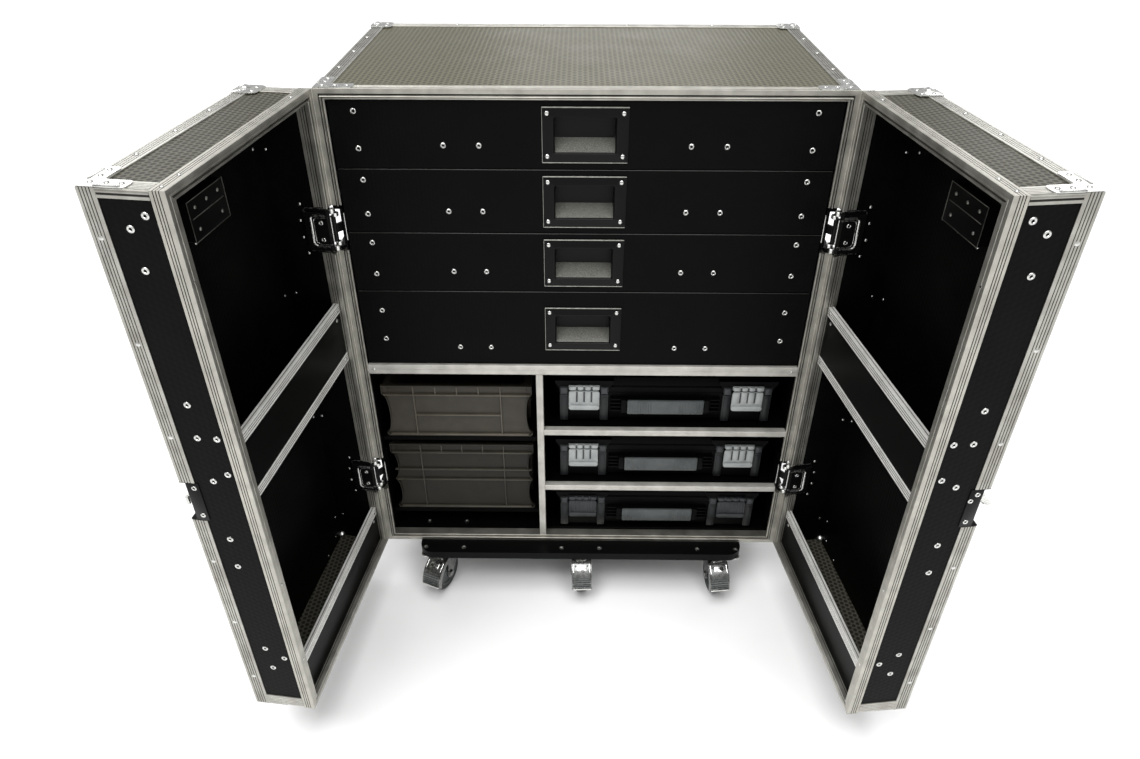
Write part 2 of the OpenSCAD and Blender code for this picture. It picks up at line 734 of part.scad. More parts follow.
module tool_case_latches(n) color("#9aa0a1") on_case(n)
    for (x = [-1, 1]) translate([x * latch_x, 0, 0]) {
        box([-latch_w / 2, -5, 43], [latch_w / 2, -0.5, latch_axis_z - 4.6]);
        box([-latch_w / 2 + 4, -9, 43], [latch_w / 2 - 4, -5, 52]);
        translate([-latch_w / 2, -3.6, latch_axis_z]) rotate([0, 90, 0]) cylinder(h = latch_w, r = 3.2);
        box([-latch_w / 2, -5, latch_axis_z - 5], [latch_w / 2, -2, latch_axis_z]);
    }

side_panels();
top_panel();
base_panel();
back_panel();
body_edging();
body_closure_frame();
bay_boards();
bay_trims();
body_corners();
drawer_runners();
body_hinge_leaves();
castor_board();
castor_plates();
for (side = SIDES) {
    door_front(side);
    door_sides(side);
    door_edging(side);
    door_closure_frame(side);
    door_shelves(side);
    door_lip_trims(side);
    door_corners(side);
    door_dishes(side);
    door_hinge_leaves(side);
}
latch_wing();
for (n = [1:4]) {
    drawer_box(n);
    drawer_pull(n);
}
lower_bin();
upper_bin();
for (n = [1:3]) {
    tool_case(n);
    tool_case_latches(n);
}
for (n = [1:6]) {
    castor_fork(n - 1);
    castor_wheel(n - 1);
}
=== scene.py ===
import json
import math
import bpy
import numpy as np
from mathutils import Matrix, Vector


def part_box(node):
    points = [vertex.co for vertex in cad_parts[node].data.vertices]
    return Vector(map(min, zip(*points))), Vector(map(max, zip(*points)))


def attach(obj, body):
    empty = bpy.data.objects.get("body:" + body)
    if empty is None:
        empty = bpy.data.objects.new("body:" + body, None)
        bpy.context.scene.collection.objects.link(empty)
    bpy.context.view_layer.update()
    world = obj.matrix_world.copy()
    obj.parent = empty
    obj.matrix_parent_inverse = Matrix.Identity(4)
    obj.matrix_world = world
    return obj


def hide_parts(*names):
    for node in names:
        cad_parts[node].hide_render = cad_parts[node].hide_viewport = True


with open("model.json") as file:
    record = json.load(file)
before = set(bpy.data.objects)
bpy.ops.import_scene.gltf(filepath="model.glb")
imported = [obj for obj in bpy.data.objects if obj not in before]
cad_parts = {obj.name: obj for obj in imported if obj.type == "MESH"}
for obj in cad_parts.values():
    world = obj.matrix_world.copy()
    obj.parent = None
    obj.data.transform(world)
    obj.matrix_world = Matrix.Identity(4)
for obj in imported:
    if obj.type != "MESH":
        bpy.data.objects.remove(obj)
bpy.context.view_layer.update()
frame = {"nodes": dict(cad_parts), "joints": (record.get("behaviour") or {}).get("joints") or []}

# A two-door workshop flight case on castors. Sizes are in millimetres until they reach a mesh.
mm = 0.001


# ---- where things are ----

def jointNamed(name):
    # the first joint of the frame whose name is the one asked for
    return next(j for j in frame["joints"] if j["name"] == name)


bodyBox = [np.array(corner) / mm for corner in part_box("body_edging")]
sidePanelBox = [np.array(corner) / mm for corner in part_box("side_panels")]
caseSize = {
    "width": bodyBox[1][0] - bodyBox[0][0],
    "height": bodyBox[1][2] - bodyBox[0][2],
    "back": bodyBox[1][1],
    "front": sidePanelBox[0][1] - 3,       # the panels start behind the closure frame's web
    "ground": bodyBox[0][2],               # height of the case's underside
    "doorDepth": 132,
    "flange": 30,
    "wall": 2,
}
caseSize["depth"] = caseSize["back"] - caseSize["front"]
caseSize["doorWidth"] = caseSize["width"] / 2 - 0.75
doorOpen = math.radians(-jointNamed("left_door_hinge")["range_deg"][0])
hingePlaces = {"z": [226, 875], "height": 97, "clearance": 0.5, "pinBehindFace": 0.5}


def bodyFrame():
    # x from the middle, y from the joint plane into the body, z from the body's underside
    return np.eye(3), np.array([0, caseSize["front"], caseSize["ground"]])


def doorFrame(side):
    # x from the hinge line, y from the joint plane to the outer face, z from the underside
    c, s = math.cos(doorOpen), math.sin(doorOpen)
    gap = hingePlaces["pinBehindFace"]
    pin = np.array([-caseSize["width"] / 2, caseSize["front"] - gap, caseSize["ground"]])
    turn = np.array([[c, -s, 0], [-s, -c, 0], [0, 0, 1]])
    start = pin + turn @ np.array([0, gap, 0])
    if side == "right":
        flip = np.diag([-1, 1, 1])
        return flip @ turn, flip @ start
    return turn, start


# ---- shapes: each is (points, faces), faces pointing outwards ----

def roundedOutline(halfW, halfH, radius, perCorner=5):
    # four arcs of one radius about the corners of the rectangle that is smaller by the radius
    radius = max(min(radius, halfW - 0.01, halfH - 0.01), 0.02)
    t = np.linspace(0, math.pi / 2, perCorner)
    start = np.repeat(np.arange(4) * math.pi / 2, perCorner)
    angle = start + np.tile(t, 4)
    cx = np.repeat([1, -1, -1, 1], perCorner) * (halfW - radius)
    cy = np.repeat([1, 1, -1, -1], perCorner) * (halfH - radius)
    return np.stack([cx + radius * np.cos(angle), cy + radius * np.sin(angle)], 1)


def skinRings(rings, closed=False):
    # quads between neighbouring rings of equal length, with a cap on each open end
    m, n = rings.shape[:2]
    i = np.arange(n)
    j = (i + 1) % n
    row = np.arange(m if closed else m - 1)[:, None]
    nxt = (row + 1) % m
    quads = np.stack([row * n + i, row * n + j, nxt * n + j, nxt * n + i], -1).reshape(-1, 4)
    faces = quads.tolist()
    if not closed:
        faces += [i[::-1].tolist(), (i + (m - 1) * n).tolist()]
    return rings.reshape(-1, 3), faces


def ringLoft(sections, perCorner=5):
    # a skin over rounded rectangles, each (half width, half height, corner radius, level)
    rings = []
    for halfW, halfH, radius, level in sections:
        flat = roundedOutline(halfW, halfH, radius, perCorner)
        rings.append(np.column_stack([flat, np.full(len(flat), level)]))
    return skinRings(np.array(rings))


def softSlab(w, h, t, radius=2, bevel=0.8, perCorner=5):
    # a rounded plate from level 0 to t whose rims are cut back by the bevel
    a, b = w / 2, h / 2
    return ringLoft([
        (a - bevel, b - bevel, radius - bevel, 0), (a - bevel * 0.3, b - bevel * 0.3, radius, bevel * 0.3),
        (a, b, radius, bevel), (a, b, radius, t - bevel),
        (a - bevel * 0.3, b - bevel * 0.3, radius, t - bevel * 0.3), (a - bevel, b - bevel, radius - bevel, t),
    ], perCorner)


def softBox(low, high, bevel=0.8, radius=None):
    # the plate above, standing between two corners
    low, high = np.array(low, float), np.array(high, float)
    size = high - low
    bevel = min(bevel, *(size / 3))
    points, faces = softSlab(size[0], size[1], size[2], radius or bevel * 1.5, bevel, 3)
    return points + [(low[0] + high[0]) / 2, (low[1] + high[1]) / 2, low[2]], faces


def boxes(*rows):
    # a soft box for each (low corner, high corner, bevel)
    return [softBox(*row) for row in rows]


def lathe(profile, turns=24, closed=False):
    # the profile's (radius, level) pairs turned about the z axis; a closed one leaves its middle open
    angle = np.arange(turns) * 2 * math.pi / turns
    profile = np.array(profile, float)
    rings = np.stack([profile[:, :1] * np.cos(angle), profile[:, :1] * np.sin(angle),
                      np.repeat(profile[:, 1:], turns, 1)], -1)
    return skinRings(rings, closed)


def bar(profile, start, end, axisU, axisV, cutStart=(0, 0), cutEnd=(0, 0)):
    # the profile carried from start to end; each end's cut moves a point along by cut . (u, v)
    profile = np.array(profile, float)
    start, end = np.array(start, float), np.array(end, float)
    axisU, axisV = np.array(axisU, float), np.array(axisV, float)
    along = (end - start) / np.linalg.norm(end - start)
    area = 0.5 * np.sum(profile[:, 0] * np.roll(profile[:, 1], -1) - np.roll(profile[:, 0], -1) * profile[:, 1])
    if area * np.dot(np.cross(axisU, axisV), along) < 0:
        profile = profile[::-1]
    base = profile[:, :1] * axisU + profile[:, 1:] * axisV
    first = start + base + (profile @ np.array(cutStart, float))[:, None] * along
    last = end + base - (profile @ np.array(cutEnd, float))[:, None] * along
    return skinRings(np.array([first, last]))


def tube(path, radius, sides=12):
    # a circle carried along a smooth path, turned square to it at each point
    path = np.array(path, float)
    along = np.gradient(path, axis=0)
    along /= np.linalg.norm(along, axis=1)[:, None]
    helper = np.array([0.137, 0.271, 0.953])
    side = np.cross(along, helper)
    side /= np.linalg.norm(side, axis=1)[:, None]
    up = np.cross(side, along)
    angle = np.arange(sides) * 2 * math.pi / sides
    ring = np.cos(angle)[None, :, None] * side[:, None] + np.sin(angle)[None, :, None] * -up[:, None]
    return skinRings(path[:, None] + radius * ring)


def moved(shape, offset, turn=None):
    # turned about the origin, then shifted; a mirroring turn also reverses the faces
    points, faces = shape
    if turn is not None:
        turn = np.array(turn, float)
        points = points @ turn.T
        if np.linalg.det(turn) < 0:
            faces = [f[::-1] for f in faces]
    return points + np.array(offset, float), faces


def shifted(layers, offset):
    # every shape of every (material, shapes) layer moved by one offset
    return [(material, [moved(s, offset) for s in part]) for material, part in layers]


def joined(shapes):
    # one shape from many: each face's numbers grow by the count of the points before it
    points, faces, count = [], [], 0
    for p, f in shapes:
        points.append(p)
        faces += [[k + count for k in face] for face in f]
        count += len(p)
    return np.concatenate(points), faces


def turnTo(x, y, z):
    # the matrix whose columns are the three new axes
    return np.array([x, y, z], float).T


facing = {
    "front": turnTo((1, 0, 0), (0, 0, 1), (0, -1, 0)),     # level rises towards -y
    "back": turnTo((-1, 0, 0), (0, 0, 1), (0, 1, 0)),
    "up": np.eye(3),
    "right": turnTo((0, 1, 0), (0, 0, 1), (1, 0, 0)),
    "left": turnTo((0, -1, 0), (0, 0, 1), (-1, 0, 0)),
}


# ---- pieces ----

sharpAngle = math.radians(35)      # edges that turn by more than this are shaded sharp


def makePiece(name, layers, body, place=None, stands=()):
    # layers are (material, [shapes]) in the given frame; the object itself stays at the origin
    turn, start = place or bodyFrame()
    shapes, owner, materials = [], [], []
    for material, parts in layers:
        index = materials.index(material) if material in materials else len(materials)
        if index == len(materials):
            materials.append(material)
        for part in parts:
            shapes.append(part)
            owner += [index] * len(part[1])
    points, faces = moved(joined(shapes), start, turn)
    mesh = bpy.data.meshes.new(name)
    mesh.from_pydata((points * mm).tolist(), [], faces)
    for material in materials:
        mesh.materials.append(material)
    mesh.polygons.foreach_set("material_index", np.array(owner, np.int32))
    mesh.shade_smooth()
    mesh.set_sharp_from_angle(angle=sharpAngle)
    mesh.update()
    piece = bpy.data.objects.new(name, mesh)
    bpy.context.scene.collection.objects.link(piece)
    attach(piece, body)
    if stands:
        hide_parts(*stands)


# ---- materials ----

def hexColor(code):
    # sRGB hex to linear light
    value = np.array([int(code[i:i + 2], 16) for i in (1, 3, 5)]) / 255
    linear = np.where(value <= 0.04045, value / 12.92, ((value + 0.055) / 1.055) ** 2.4)
    return (*linear.tolist(), 1.0)


def addNode(tree, kind, settings=None, links=None):
    # settings go to the node's properties or, by name or number, to its inputs
    made = tree.nodes.new(kind)
    for key, value in (settings or {}).items():
        if isinstance(key, str) and hasattr(made, key):
            setattr(made, key, value)
        else:
            made.inputs[key].default_value = value
    for key, source in (links or {}).items():
        tree.links.new(source, made.inputs[key])
    return made


def newMaterial(name, base, roughness, metallic=0.0, **extra):
    # a principled shader on an output, and the object coordinates in metres that patterns are scaled by
    material = bpy.data.materials.new(name)
    material.use_nodes = True
    tree = material.node_tree
    tree.nodes.clear()
    shader = addNode(tree, "ShaderNodeBsdfPrincipled", {"Base Color": hexColor(base), "Roughness": roughness,
                                                        "Metallic": metallic, **extra})
    addNode(tree, "ShaderNodeOutputMaterial", None, {"Surface": shader.outputs[0]})
    coords = addNode(tree, "ShaderNodeTexCoord")
    return material, tree, shader, coords.outputs["Object"]


def mottled(tree, shader, coords, pale, dark, size, amount=(0.35, 0.65), roughness=None):
    # a soft cloud between two colours, and between two roughnesses
    cloud = addNode(tree, "ShaderNodeTexNoise", {"Scale": 1 / (size * mm), "Detail": 4.0}, {"Vector": coords})
    ramp = addNode(tree, "ShaderNodeValToRGB", None, {"Fac": cloud.outputs["Fac"]})
    ramp.color_ramp.elements[0].position, ramp.color_ramp.elements[1].position = amount
    ramp.color_ramp.elements[0].color = hexColor(dark)
    ramp.color_ramp.elements[1].color = hexColor(pale)
    tree.links.new(ramp.outputs["Color"], shader.inputs["Base Color"])
    if roughness:
        span = addNode(tree, "ShaderNodeMapRange", {"To Min": roughness[0], "To Max": roughness[1]},
                       {"Value": cloud.outputs["Fac"]})
        tree.links.new(span.outputs["Result"], shader.inputs["Roughness"])
    return cloud


def bumped(tree, shader, height, depth, strength=1.0):
    # the shader's normal tilted by the slope of height x depth (mm), mixed in by the strength
    bump = addNode(tree, "ShaderNodeBump", {"Distance": depth * mm, "Strength": strength}, {"Height": height})
    tree.links.new(bump.outputs["Normal"], shader.inputs["Normal"])


def hexMesh(tree, coords, pitch, plane):
    # cos(k.p) summed over three directions k at 120 degrees is a honeycomb; plane names its two axes
    total = None
    for turn in (0, 120, 240):
        c, s = math.cos(math.radians(turn)), math.sin(math.radians(turn))
        k = 2 * math.pi / (pitch * mm * 0.866)
        direction = [0.0, 0.0, 0.0]
        direction["xyz".index(plane[0])], direction["xyz".index(plane[1])] = c * k, s * k
        along = addNode(tree, "ShaderNodeVectorMath", {"operation": "DOT_PRODUCT", 1: direction}, {0: coords})
        wave = addNode(tree, "ShaderNodeMath", {"operation": "COSINE"}, {0: along.outputs["Value"]})
        if total is None:
            total = wave.outputs[0]
        else:
            both = addNode(tree, "ShaderNodeMath", {"operation": "ADD"}, {0: total, 1: wave.outputs[0]})
            total = both.outputs[0]
    return total


def phenolicBoard(name, base="#0b0b0b", dark="#080808", rough=0.36, pitch=9, gloss=0.1, depth=0.3, paintedHighlight=None):
    # film-faced ply pressed with a honeycomb mesh: near black; on faces that look up its ridges are painted a
    # lighter grey-brown, a painted highlight
    # a real mesh has a pitch of about 6 mm; it's drawn coarser, at 9 to 12, to show from metres away
    material, tree, shader, coords = newMaterial(name, base, rough, **{"IOR": 1.5, "Specular IOR Level": gloss})
    mottled(tree, shader, coords, base, dark, 70, roughness=(rough - 0.05, rough + 0.1))
    # the mesh lies in the plane that the face is nearest to: |n.z| > 0.7, or else |n.x| > 0.7
    normal = addNode(tree, "ShaderNodeTexCoord").outputs["Normal"]
    parts = addNode(tree, "ShaderNodeSeparateXYZ", None, {0: normal})
    masks = []
    for axis in ("Z", "X"):
        size = addNode(tree, "ShaderNodeMath", {"operation": "ABSOLUTE"}, {0: parts.outputs[axis]})
        masks.append(addNode(tree, "ShaderNodeMath", {"operation": "GREATER_THAN", 1: 0.7}, {0: size.outputs[0]}))
    mesh = hexMesh(tree, coords, pitch, "xz")
    for mask, plane in zip(masks[::-1], ("yz", "xy")):
        mix = addNode(tree, "ShaderNodeMix", None, {"Factor": mask.outputs[0], "A": mesh,
                                                    "B": hexMesh(tree, coords, pitch, plane)})
        mesh = mix.outputs["Result"]
    edge = addNode(tree, "ShaderNodeMapRange", {"From Min": -1.5, "From Max": 1.2, "To Min": 0.0, "To Max": 1.0},
                   {"Value": mesh})
    # ridges on faces that look up are tinted lighter: painted highlight
    if paintedHighlight:
        up = addNode(tree, "ShaderNodeMath", {"operation": "GREATER_THAN", 1: 0.7}, {0: parts.outputs["Z"]})
        ridgeHighlight = addNode(tree, "ShaderNodeMapRange", {"From Min": 0.1, "From Max": 0.75, "To Min": 0.95,
                                                    "To Max": 0.25}, {"Value": edge.outputs["Result"]})
        amount = addNode(tree, "ShaderNodeMath", {"operation": "MULTIPLY"}, {0: up.outputs[0],
                                                                             1: ridgeHighlight.outputs["Result"]})
        first = shader.inputs["Base Color"].links[0].from_socket
        tint = addNode(tree, "ShaderNodeMix", {"data_type": "RGBA"})
        tint.inputs[7].default_value = hexColor(paintedHighlight)
        tree.links.new(amount.outputs[0], tint.inputs[0])
        tree.links.new(first, tint.inputs[6])
        tree.links.new(tint.outputs[2], shader.inputs["Base Color"])
    bumped(tree, shader, edge.outputs["Result"], depth, 0.8)
    return material


def brushedAluminium(name, base="#c6c5c1", rough=0.34, metallic=1.0, cloudy="#9c9b95"):
    # satin anodised extrusion: clouds 35 mm wide, and a grain of 0.9 cycles in a millimetre
    material, tree, shader, coords = newMaterial(name, base, rough, metallic)
    mottled(tree, shader, coords, base, cloudy, 35, (0.3, 0.7), (rough - 0.08, rough + 0.1))
    lines = addNode(tree, "ShaderNodeTexNoise", {"Scale": 0.9 / mm, "Detail": 3.0}, {"Vector": coords})
    scuff = addNode(tree, "ShaderNodeMath", {"operation": "MULTIPLY", 1: 0.6}, {0: lines.outputs["Fac"]})
    bumped(tree, shader, scuff.outputs[0], 0.06, 0.5)
    return material


def grooveShade(name, base="#33322f"):
    # painted shade: a dark strip at the bottom of an extrusion's fine groove, where shadow falls
    material, tree, shader, coords = newMaterial(name, base, 0.55, 0.6)
    mottled(tree, shader, coords, base, "#22211f", 30, (0.3, 0.7), (0.45, 0.65))
    return material


def platedSteel(name, base="#cfcfcb", rough=0.26, cloudy="#a3a4a2"):
    # bright zinc on pressed steel: a little cloudy, with a rolled grain too fine to see
    material, tree, shader, coords = newMaterial(name, base, rough, 1.0)
    cloud = mottled(tree, shader, coords, base, cloudy, 9, (0.25, 0.75), (rough - 0.08, rough + 0.14))
    bumped(tree, shader, cloud.outputs["Fac"], 0.12, 0.4)
    return material


def powderCoat(name, base="#101011", rough=0.4, gloss=0.3, dark="#0a0a0b"):
    # satin black powder on sheet steel: orange peel about a millimetre across
    material, tree, shader, coords = newMaterial(name, base, rough, **{"IOR": 1.5, "Specular IOR Level": gloss})
    peel = mottled(tree, shader, coords, base, dark, 1.6, (0.3, 0.7), (rough - 0.05, rough + 0.08))
    bumped(tree, shader, peel.outputs["Fac"], 0.08, 0.5)
    return material


def mouldedPlastic(name, base, dark, rough=0.5, grain=0.9, gloss=0.4):
    # spark-grained mould finish, duller and slightly darker in the hollows
    material, tree, shader, coords = newMaterial(name, base, rough, **{"IOR": 1.49, "Specular IOR Level": gloss})
    mottled(tree, shader, coords, base, dark, 28, (0.3, 0.7), (rough - 0.06, rough + 0.08))
    speck = addNode(tree, "ShaderNodeTexNoise", {"Scale": 1 / (grain * mm), "Detail": 2.0}, {"Vector": coords})
    bumped(tree, shader, speck.outputs["Fac"], 0.12, 0.6)
    return material


def castorRubber(name, base="#2b2b2c"):
    # thermoplastic rubber tread: matt, with dust worked into it
    material, tree, shader, coords = newMaterial(name, base, 0.62, 0.0, IOR=1.5)
    dust = mottled(tree, shader, coords, "#4b4a47", base, 14, (0.5, 0.8), (0.5, 0.75))
    bumped(tree, shader, dust.outputs["Fac"], 0.2, 0.4)
    return material


finish = {
    # the top board is a paler, browner, glossier copy of the door board: painted light on the upward face
    "topBoardPaintedLight": phenolicBoard("hexPhenolicTopPaintedLight", "#1c1a13", "#15130e", 0.34, 12, 0.3, 0.5, "#67644f"),
    "doorBoard": phenolicBoard("hexPhenolicDoor", "#080808", "#050505", 0.42, 12, 0.05, 0.2, "#5c5a50"),
    "drawerBoard": phenolicBoard("hexPhenolicDrawer", "#080808", "#060606", 0.42, 9, 0.05, 0.1),
    "innerBoard": powderCoat("smoothPhenolicFilm", "#050505", 0.45, 0.04, "#030303"),
    "shelfBoard": powderCoat("shelfPhenolicFilm", "#070707", 0.4, 0.08, "#050505"),
    # a pale strip on the drawer fronts' top edges: painted highlight
    "boardEdgeHighlight": powderCoat("paintedBoardEdgeHighlight", "#3a3a38", 0.3, 0.6, "#232322"),
    "extrusion": brushedAluminium("satinAluminium", "#b3b2ab", 0.36, 0.95, "#918f88"),
    "closure": brushedAluminium("closureAluminium", "#bcbab1", 0.42, 0.9, "#9d9b93"),
    "brightTrim": brushedAluminium("millFinishTrim", "#cbc9c2", 0.48, 0.6, "#adaba4"),
    # a near-white, less metallic copy of the aluminium for the door lips: painted light
    "lipTrimPaintedLight": brushedAluminium("lipAluminiumPaintedLight", "#f1f0ec", 0.42, 0.3, "#dcdbd6"),
    # dark strips for the groove floors: painted shade
    "grooveShade": grooveShade("paintedGrooveShade", "#24231f"),
    "zinc": platedSteel("brightZinc", "#dededa", 0.24, "#b9bab8"),
    "castorSteel": platedSteel("castorZinc", "#9d9e9c", 0.24, "#6f706e"),
    # near-white zinc for the pedal's raised plate, window, rim and side strips: plated parts painted brighter as
    # highlights
    "pedalHighlight": platedSteel("pedalZincPaintedHighlight", "#e6e6e3", 0.16, "#cfcfcc"),
    "blackSteel": powderCoat("blackPowderCoat", "#0b0b0b", 0.34, 0.14, "#070707"),
    # grey steel for rivets, and painted highlights along black steel edges
    "rivetSteelAndEdgeHighlight": platedSteel("rivetSteelAndPaintedEdgeHighlight", "#a9a9a2", 0.36, "#7f7f79"),
    # the pale floor of the black pull pans: painted highlight
    "panHighlight": powderCoat("paintedPanFloorHighlight", "#85857e", 0.2, 0.8, "#4a4a46"),
    "upperBin": mouldedPlastic("greyBrownPolypropylene", "#403c34", "#38342d", 0.42, 0.9, 0.3),
    # bin ribs are paler copies of the bin plastic: painted highlights
    "upperBinRibHighlight": mouldedPlastic("greyBrownRibHighlight", "#625d52", "#565147", 0.38, 0.9, 0.4),
    "lowerBin": mouldedPlastic("darkBrownPolypropylene", "#282620", "#22201b", 0.45, 0.9, 0.25),
    "lowerBinRibHighlight": mouldedPlastic("darkBrownRibHighlight", "#47443b", "#3c3931", 0.4, 0.9, 0.35),
    "casePlastic": mouldedPlastic("blackCasePlastic", "#060607", "#040405", 0.45, 0.9, 0.06),
    "caseRib": mouldedPlastic("ribCasePlastic", "#1f2123", "#17191a", 0.36, 0.9, 0.3),
    "latchPlastic": mouldedPlastic("silverGreyPlastic", "#a9adac", "#8f9393", 0.3, 0.9, 0.6),
    "latchShade": mouldedPlastic("shadowedGreyPlastic", "#3f4243", "#303233", 0.45),
    "darkLatch": mouldedPlastic("darkGreyPlastic", "#36393b", "#292b2d", 0.38),
    "handlePlastic": mouldedPlastic("greyHandlePlastic", "#505454", "#414545", 0.4),
    "tyre": castorRubber("treadRubber", "#1c1c1d"),
}
print("materials made:", len(finish))


# ---- aluminium extrusions ----

angleProfile = {"flange": 30, "wall": 2, "edgeRadius": 5, "grooves": [8, 13, 18, 23], "grooveWidth": 2.3,
                "grooveDepth": 0.9}


def grooveLine(length, sizes):
    # (distance, depth) along one outer face from the rounded edge to the flange's tip
    line = [(sizes["edgeRadius"], 0)]
    half = sizes["grooveWidth"] / 2
    for s in sizes["grooves"]:
        if s + half < length - 1:
            line += [(s - half, 0), (s - half * 0.5, sizes["grooveDepth"]), (s + half * 0.5, sizes["grooveDepth"]),
                     (s + half, 0)]
    line += [(length - 0.8, 0), (length, 0.8)]
    return np.array(line)


def outerArc(r):
    # r - r (sin a, cos a): five points round an outer edge, between its two tangent points
    arc = np.linspace(0, math.pi / 2, 7)[1:-1]
    return np.stack([r - r * np.sin(arc), r - r * np.cos(arc)], 1)


def rectangle(a, b, c, e):
    # the four corners of a .. c by b .. e
    return np.array([(a, b), (c, b), (c, e), (a, e)])


def angleOutline(sizes, flange):
    # an L whose outer corner is at (0, 0): groove line along u, arc, groove line along v, inside corner
    t, line = sizes["wall"], grooveLine(flange, sizes)
    return np.concatenate([line[::-1], outerArc(sizes["edgeRadius"]), line[:, ::-1],
                           [[t, flange], [t, t], [flange, t]]])


def grooveFloors(places, width, depth):
    # thin strips of painted shade that lie in the grooves: (distance, depth) rectangles at each place
    half = width * 0.36
    return [rectangle(s - half, depth - 0.25, s + half, depth + 0.3) for s in places]


def frameBars(profile, w, h, skip=None):
    # four mitred bars round the rectangle x 0..w, z 0..h; the profile is (inwards, depth along y)
    # skip maps a side to the stretches where that bar is cut away
    sides = {
        "left": ((0, 0, 0), (0, 0, h), (1, 0, 0)), "right": ((w, 0, 0), (w, 0, h), (-1, 0, 0)),
        "bottom": ((0, 0, 0), (w, 0, 0), (0, 0, 1)), "top": ((0, 0, h), (w, 0, h), (0, 0, -1)),
    }
    bars = []
    for side, (start, end, inward) in sides.items():
        start, end = np.array(start, float), np.array(end, float)
        outline = profile(side) if callable(profile) else profile
        length = np.linalg.norm(end - start)
        cuts = [0] + [v for pair in (skip or {}).get(side, []) for v in pair] + [length]
        for k in range(0, len(cuts), 2):
            a = start + (end - start) * cuts[k] / length
            b = start + (end - start) * cuts[k + 1] / length
            bars.append(bar(outline, a, b, inward, (0, 1, 0), (1 if k == 0 else 0, 0),
                            (1 if k + 2 == len(cuts) else 0, 0)))
    return bars


narrowBand = {"reach": 15, "slot": (6.5, 10.0), "slotDepth": 1.1}


def narrowOutline():
    # an L like the angle's, but its second leg is short and has one wide slot: u inwards, v down the free end
    r, t, f = angleProfile["edgeRadius"], angleProfile["wall"], angleProfile["flange"]
    reach, (a, b), cut = narrowBand["reach"], narrowBand["slot"], narrowBand["slotDepth"]
    end = np.array([(0, r), (0, a), (cut, a + 0.2), (cut, b - 0.2), (0, b), (0, reach - 0.6), (0.6, reach)])
    return np.concatenate([grooveLine(f, angleProfile)[::-1], outerArc(r), end, [[t, reach], [t, t], [f, t]]])


def angleCage(w, d, h, fromY, skip=None, narrowEnd=False):
    # angles round the closed face y = d, and four more along the depth, with the painted shade of their groove
    # floors apart
    f = angleProfile["flange"]
    outline = angleOutline(angleProfile, f)
    floors = grooveFloors(angleProfile["grooves"], angleProfile["grooveWidth"], angleProfile["grooveDepth"])
    floors += [strip[:, ::-1] for strip in floors]
    back = np.array([1, -1])
    bars = frameBars([0, d] + outline * back, w, h, skip)
    dark = [b for strip in floors for b in frameBars([0, d] + strip * back, w, h, skip)]
    for x, z in ((0, 0), (0, 1), (1, 0), (1, 1)):
        start, end = (x * w, fromY, z * h), (x * w, d - f, z * h)
        axes = (1 - 2 * x, 0, 0), (0, 0, 1 - 2 * z)
        narrow = narrowEnd and x == 1 and z == 1
        bars.append(bar(narrowOutline() if narrow else outline, start, end, *axes))
        for k, strip in enumerate(floors):
            if not narrow or k < len(floors) // 2:
                dark.append(bar(strip, start, end, *axes))
        if narrow:
            (a, b), cut = narrowBand["slot"], narrowBand["slotDepth"]
            dark.append(bar(rectangle(cut - 0.2, a + 0.3, cut + 0.3, b - 0.3), start, end, *axes))
    return bars, dark


closureProfile = {"outerGrooves": [9, 13.5, 18], "innerGrooves": [13, 18, 23], "width": 2.0, "depth": 0.6,
                  "edge": 0.6}


def closureOutline(kind):
    # (inwards, depth): rounded outer edge, flat ledge, then a tongue, a groove or neither
    arc = np.linspace(0, math.pi / 2, 6)
    half, cut = closureProfile["width"] / 2, closureProfile["depth"]
    r = closureProfile["edge"]
    edge = [(r - r * math.cos(a), r - r * math.sin(a)) for a in arc]
    head = [(2, 24), (0.6, 24), (0, 23.4)]
    for s in closureProfile["outerGrooves"][::-1]:
        head += [(0, s + half), (cut, s + half * 0.6), (cut, s - half * 0.6), (0, s - half)]
    tail = [(20, 0.6), (20, 3)]
    if kind == "tongue":
        middle = [(9.4, 0), (9.9, 1.1), (12.6, 1.1), (13, 0.6), (13, -4.3), (13.6, -5), (14.4, -5), (15, -4.3),
                  (15, 1.1), (16.6, 1.1), (17, 0), (19.4, 0)]
        back = [(13, 3), (13, 30), (11, 30), (11, 3)]
    else:
        middle = [(8, 0), (8.3, 0.5), (9.3, 0.5), (9.6, 0), (19.4, 0)]
        if kind == "groove":
            middle[-1:] = [(12.4, 0), (12.4, 6.5), (16.2, 6.5), (16.2, 0), (19.4, 0)]
        back = [(18, 3), (18, 8.5), (13.05, 8.5)]
        for s in closureProfile["innerGrooves"]:
            back += [(13, s - half), (13 - cut, s - half * 0.6), (13 - cut, s + half * 0.6), (13, s + half)]
        back += [(13, 30), (11, 30), (11, 3)]
    return np.array(head + edge + middle + tail + back + [(5, 3), (2, 6)])


def closureShade(kind):
    # strips of painted shade in the closure profile's grooves, as (inwards, depth) rectangles
    half, cut = closureProfile["width"] * 0.36, closureProfile["depth"]
    strips = [(cut - 0.2, s - half, cut + 0.3, s + half) for s in closureProfile["outerGrooves"]]
    if kind == "tongue":
        strips += [(9.9, 0.85, 12.5, 1.4), (15.2, 0.85, 16.6, 1.4)]
    else:
        strips += [(13 - cut - 0.3, s - half, 13 - cut + 0.2, s + half) for s in closureProfile["innerGrooves"]]
        if kind == "groove":
            strips.append((12.5, 6.0, 16.1, 6.8))
    return [rectangle(*strip) for strip in strips]


def hingeGaps():
    # the stretches z - half .. z + half that each hinge cuts out of a closure bar
    half = hingePlaces["height"] / 2 + hingePlaces["clearance"]
    return [(z - half, z + half) for z in hingePlaces["z"]]


closureReach = 24.2         # the depth angles start behind the closure bars


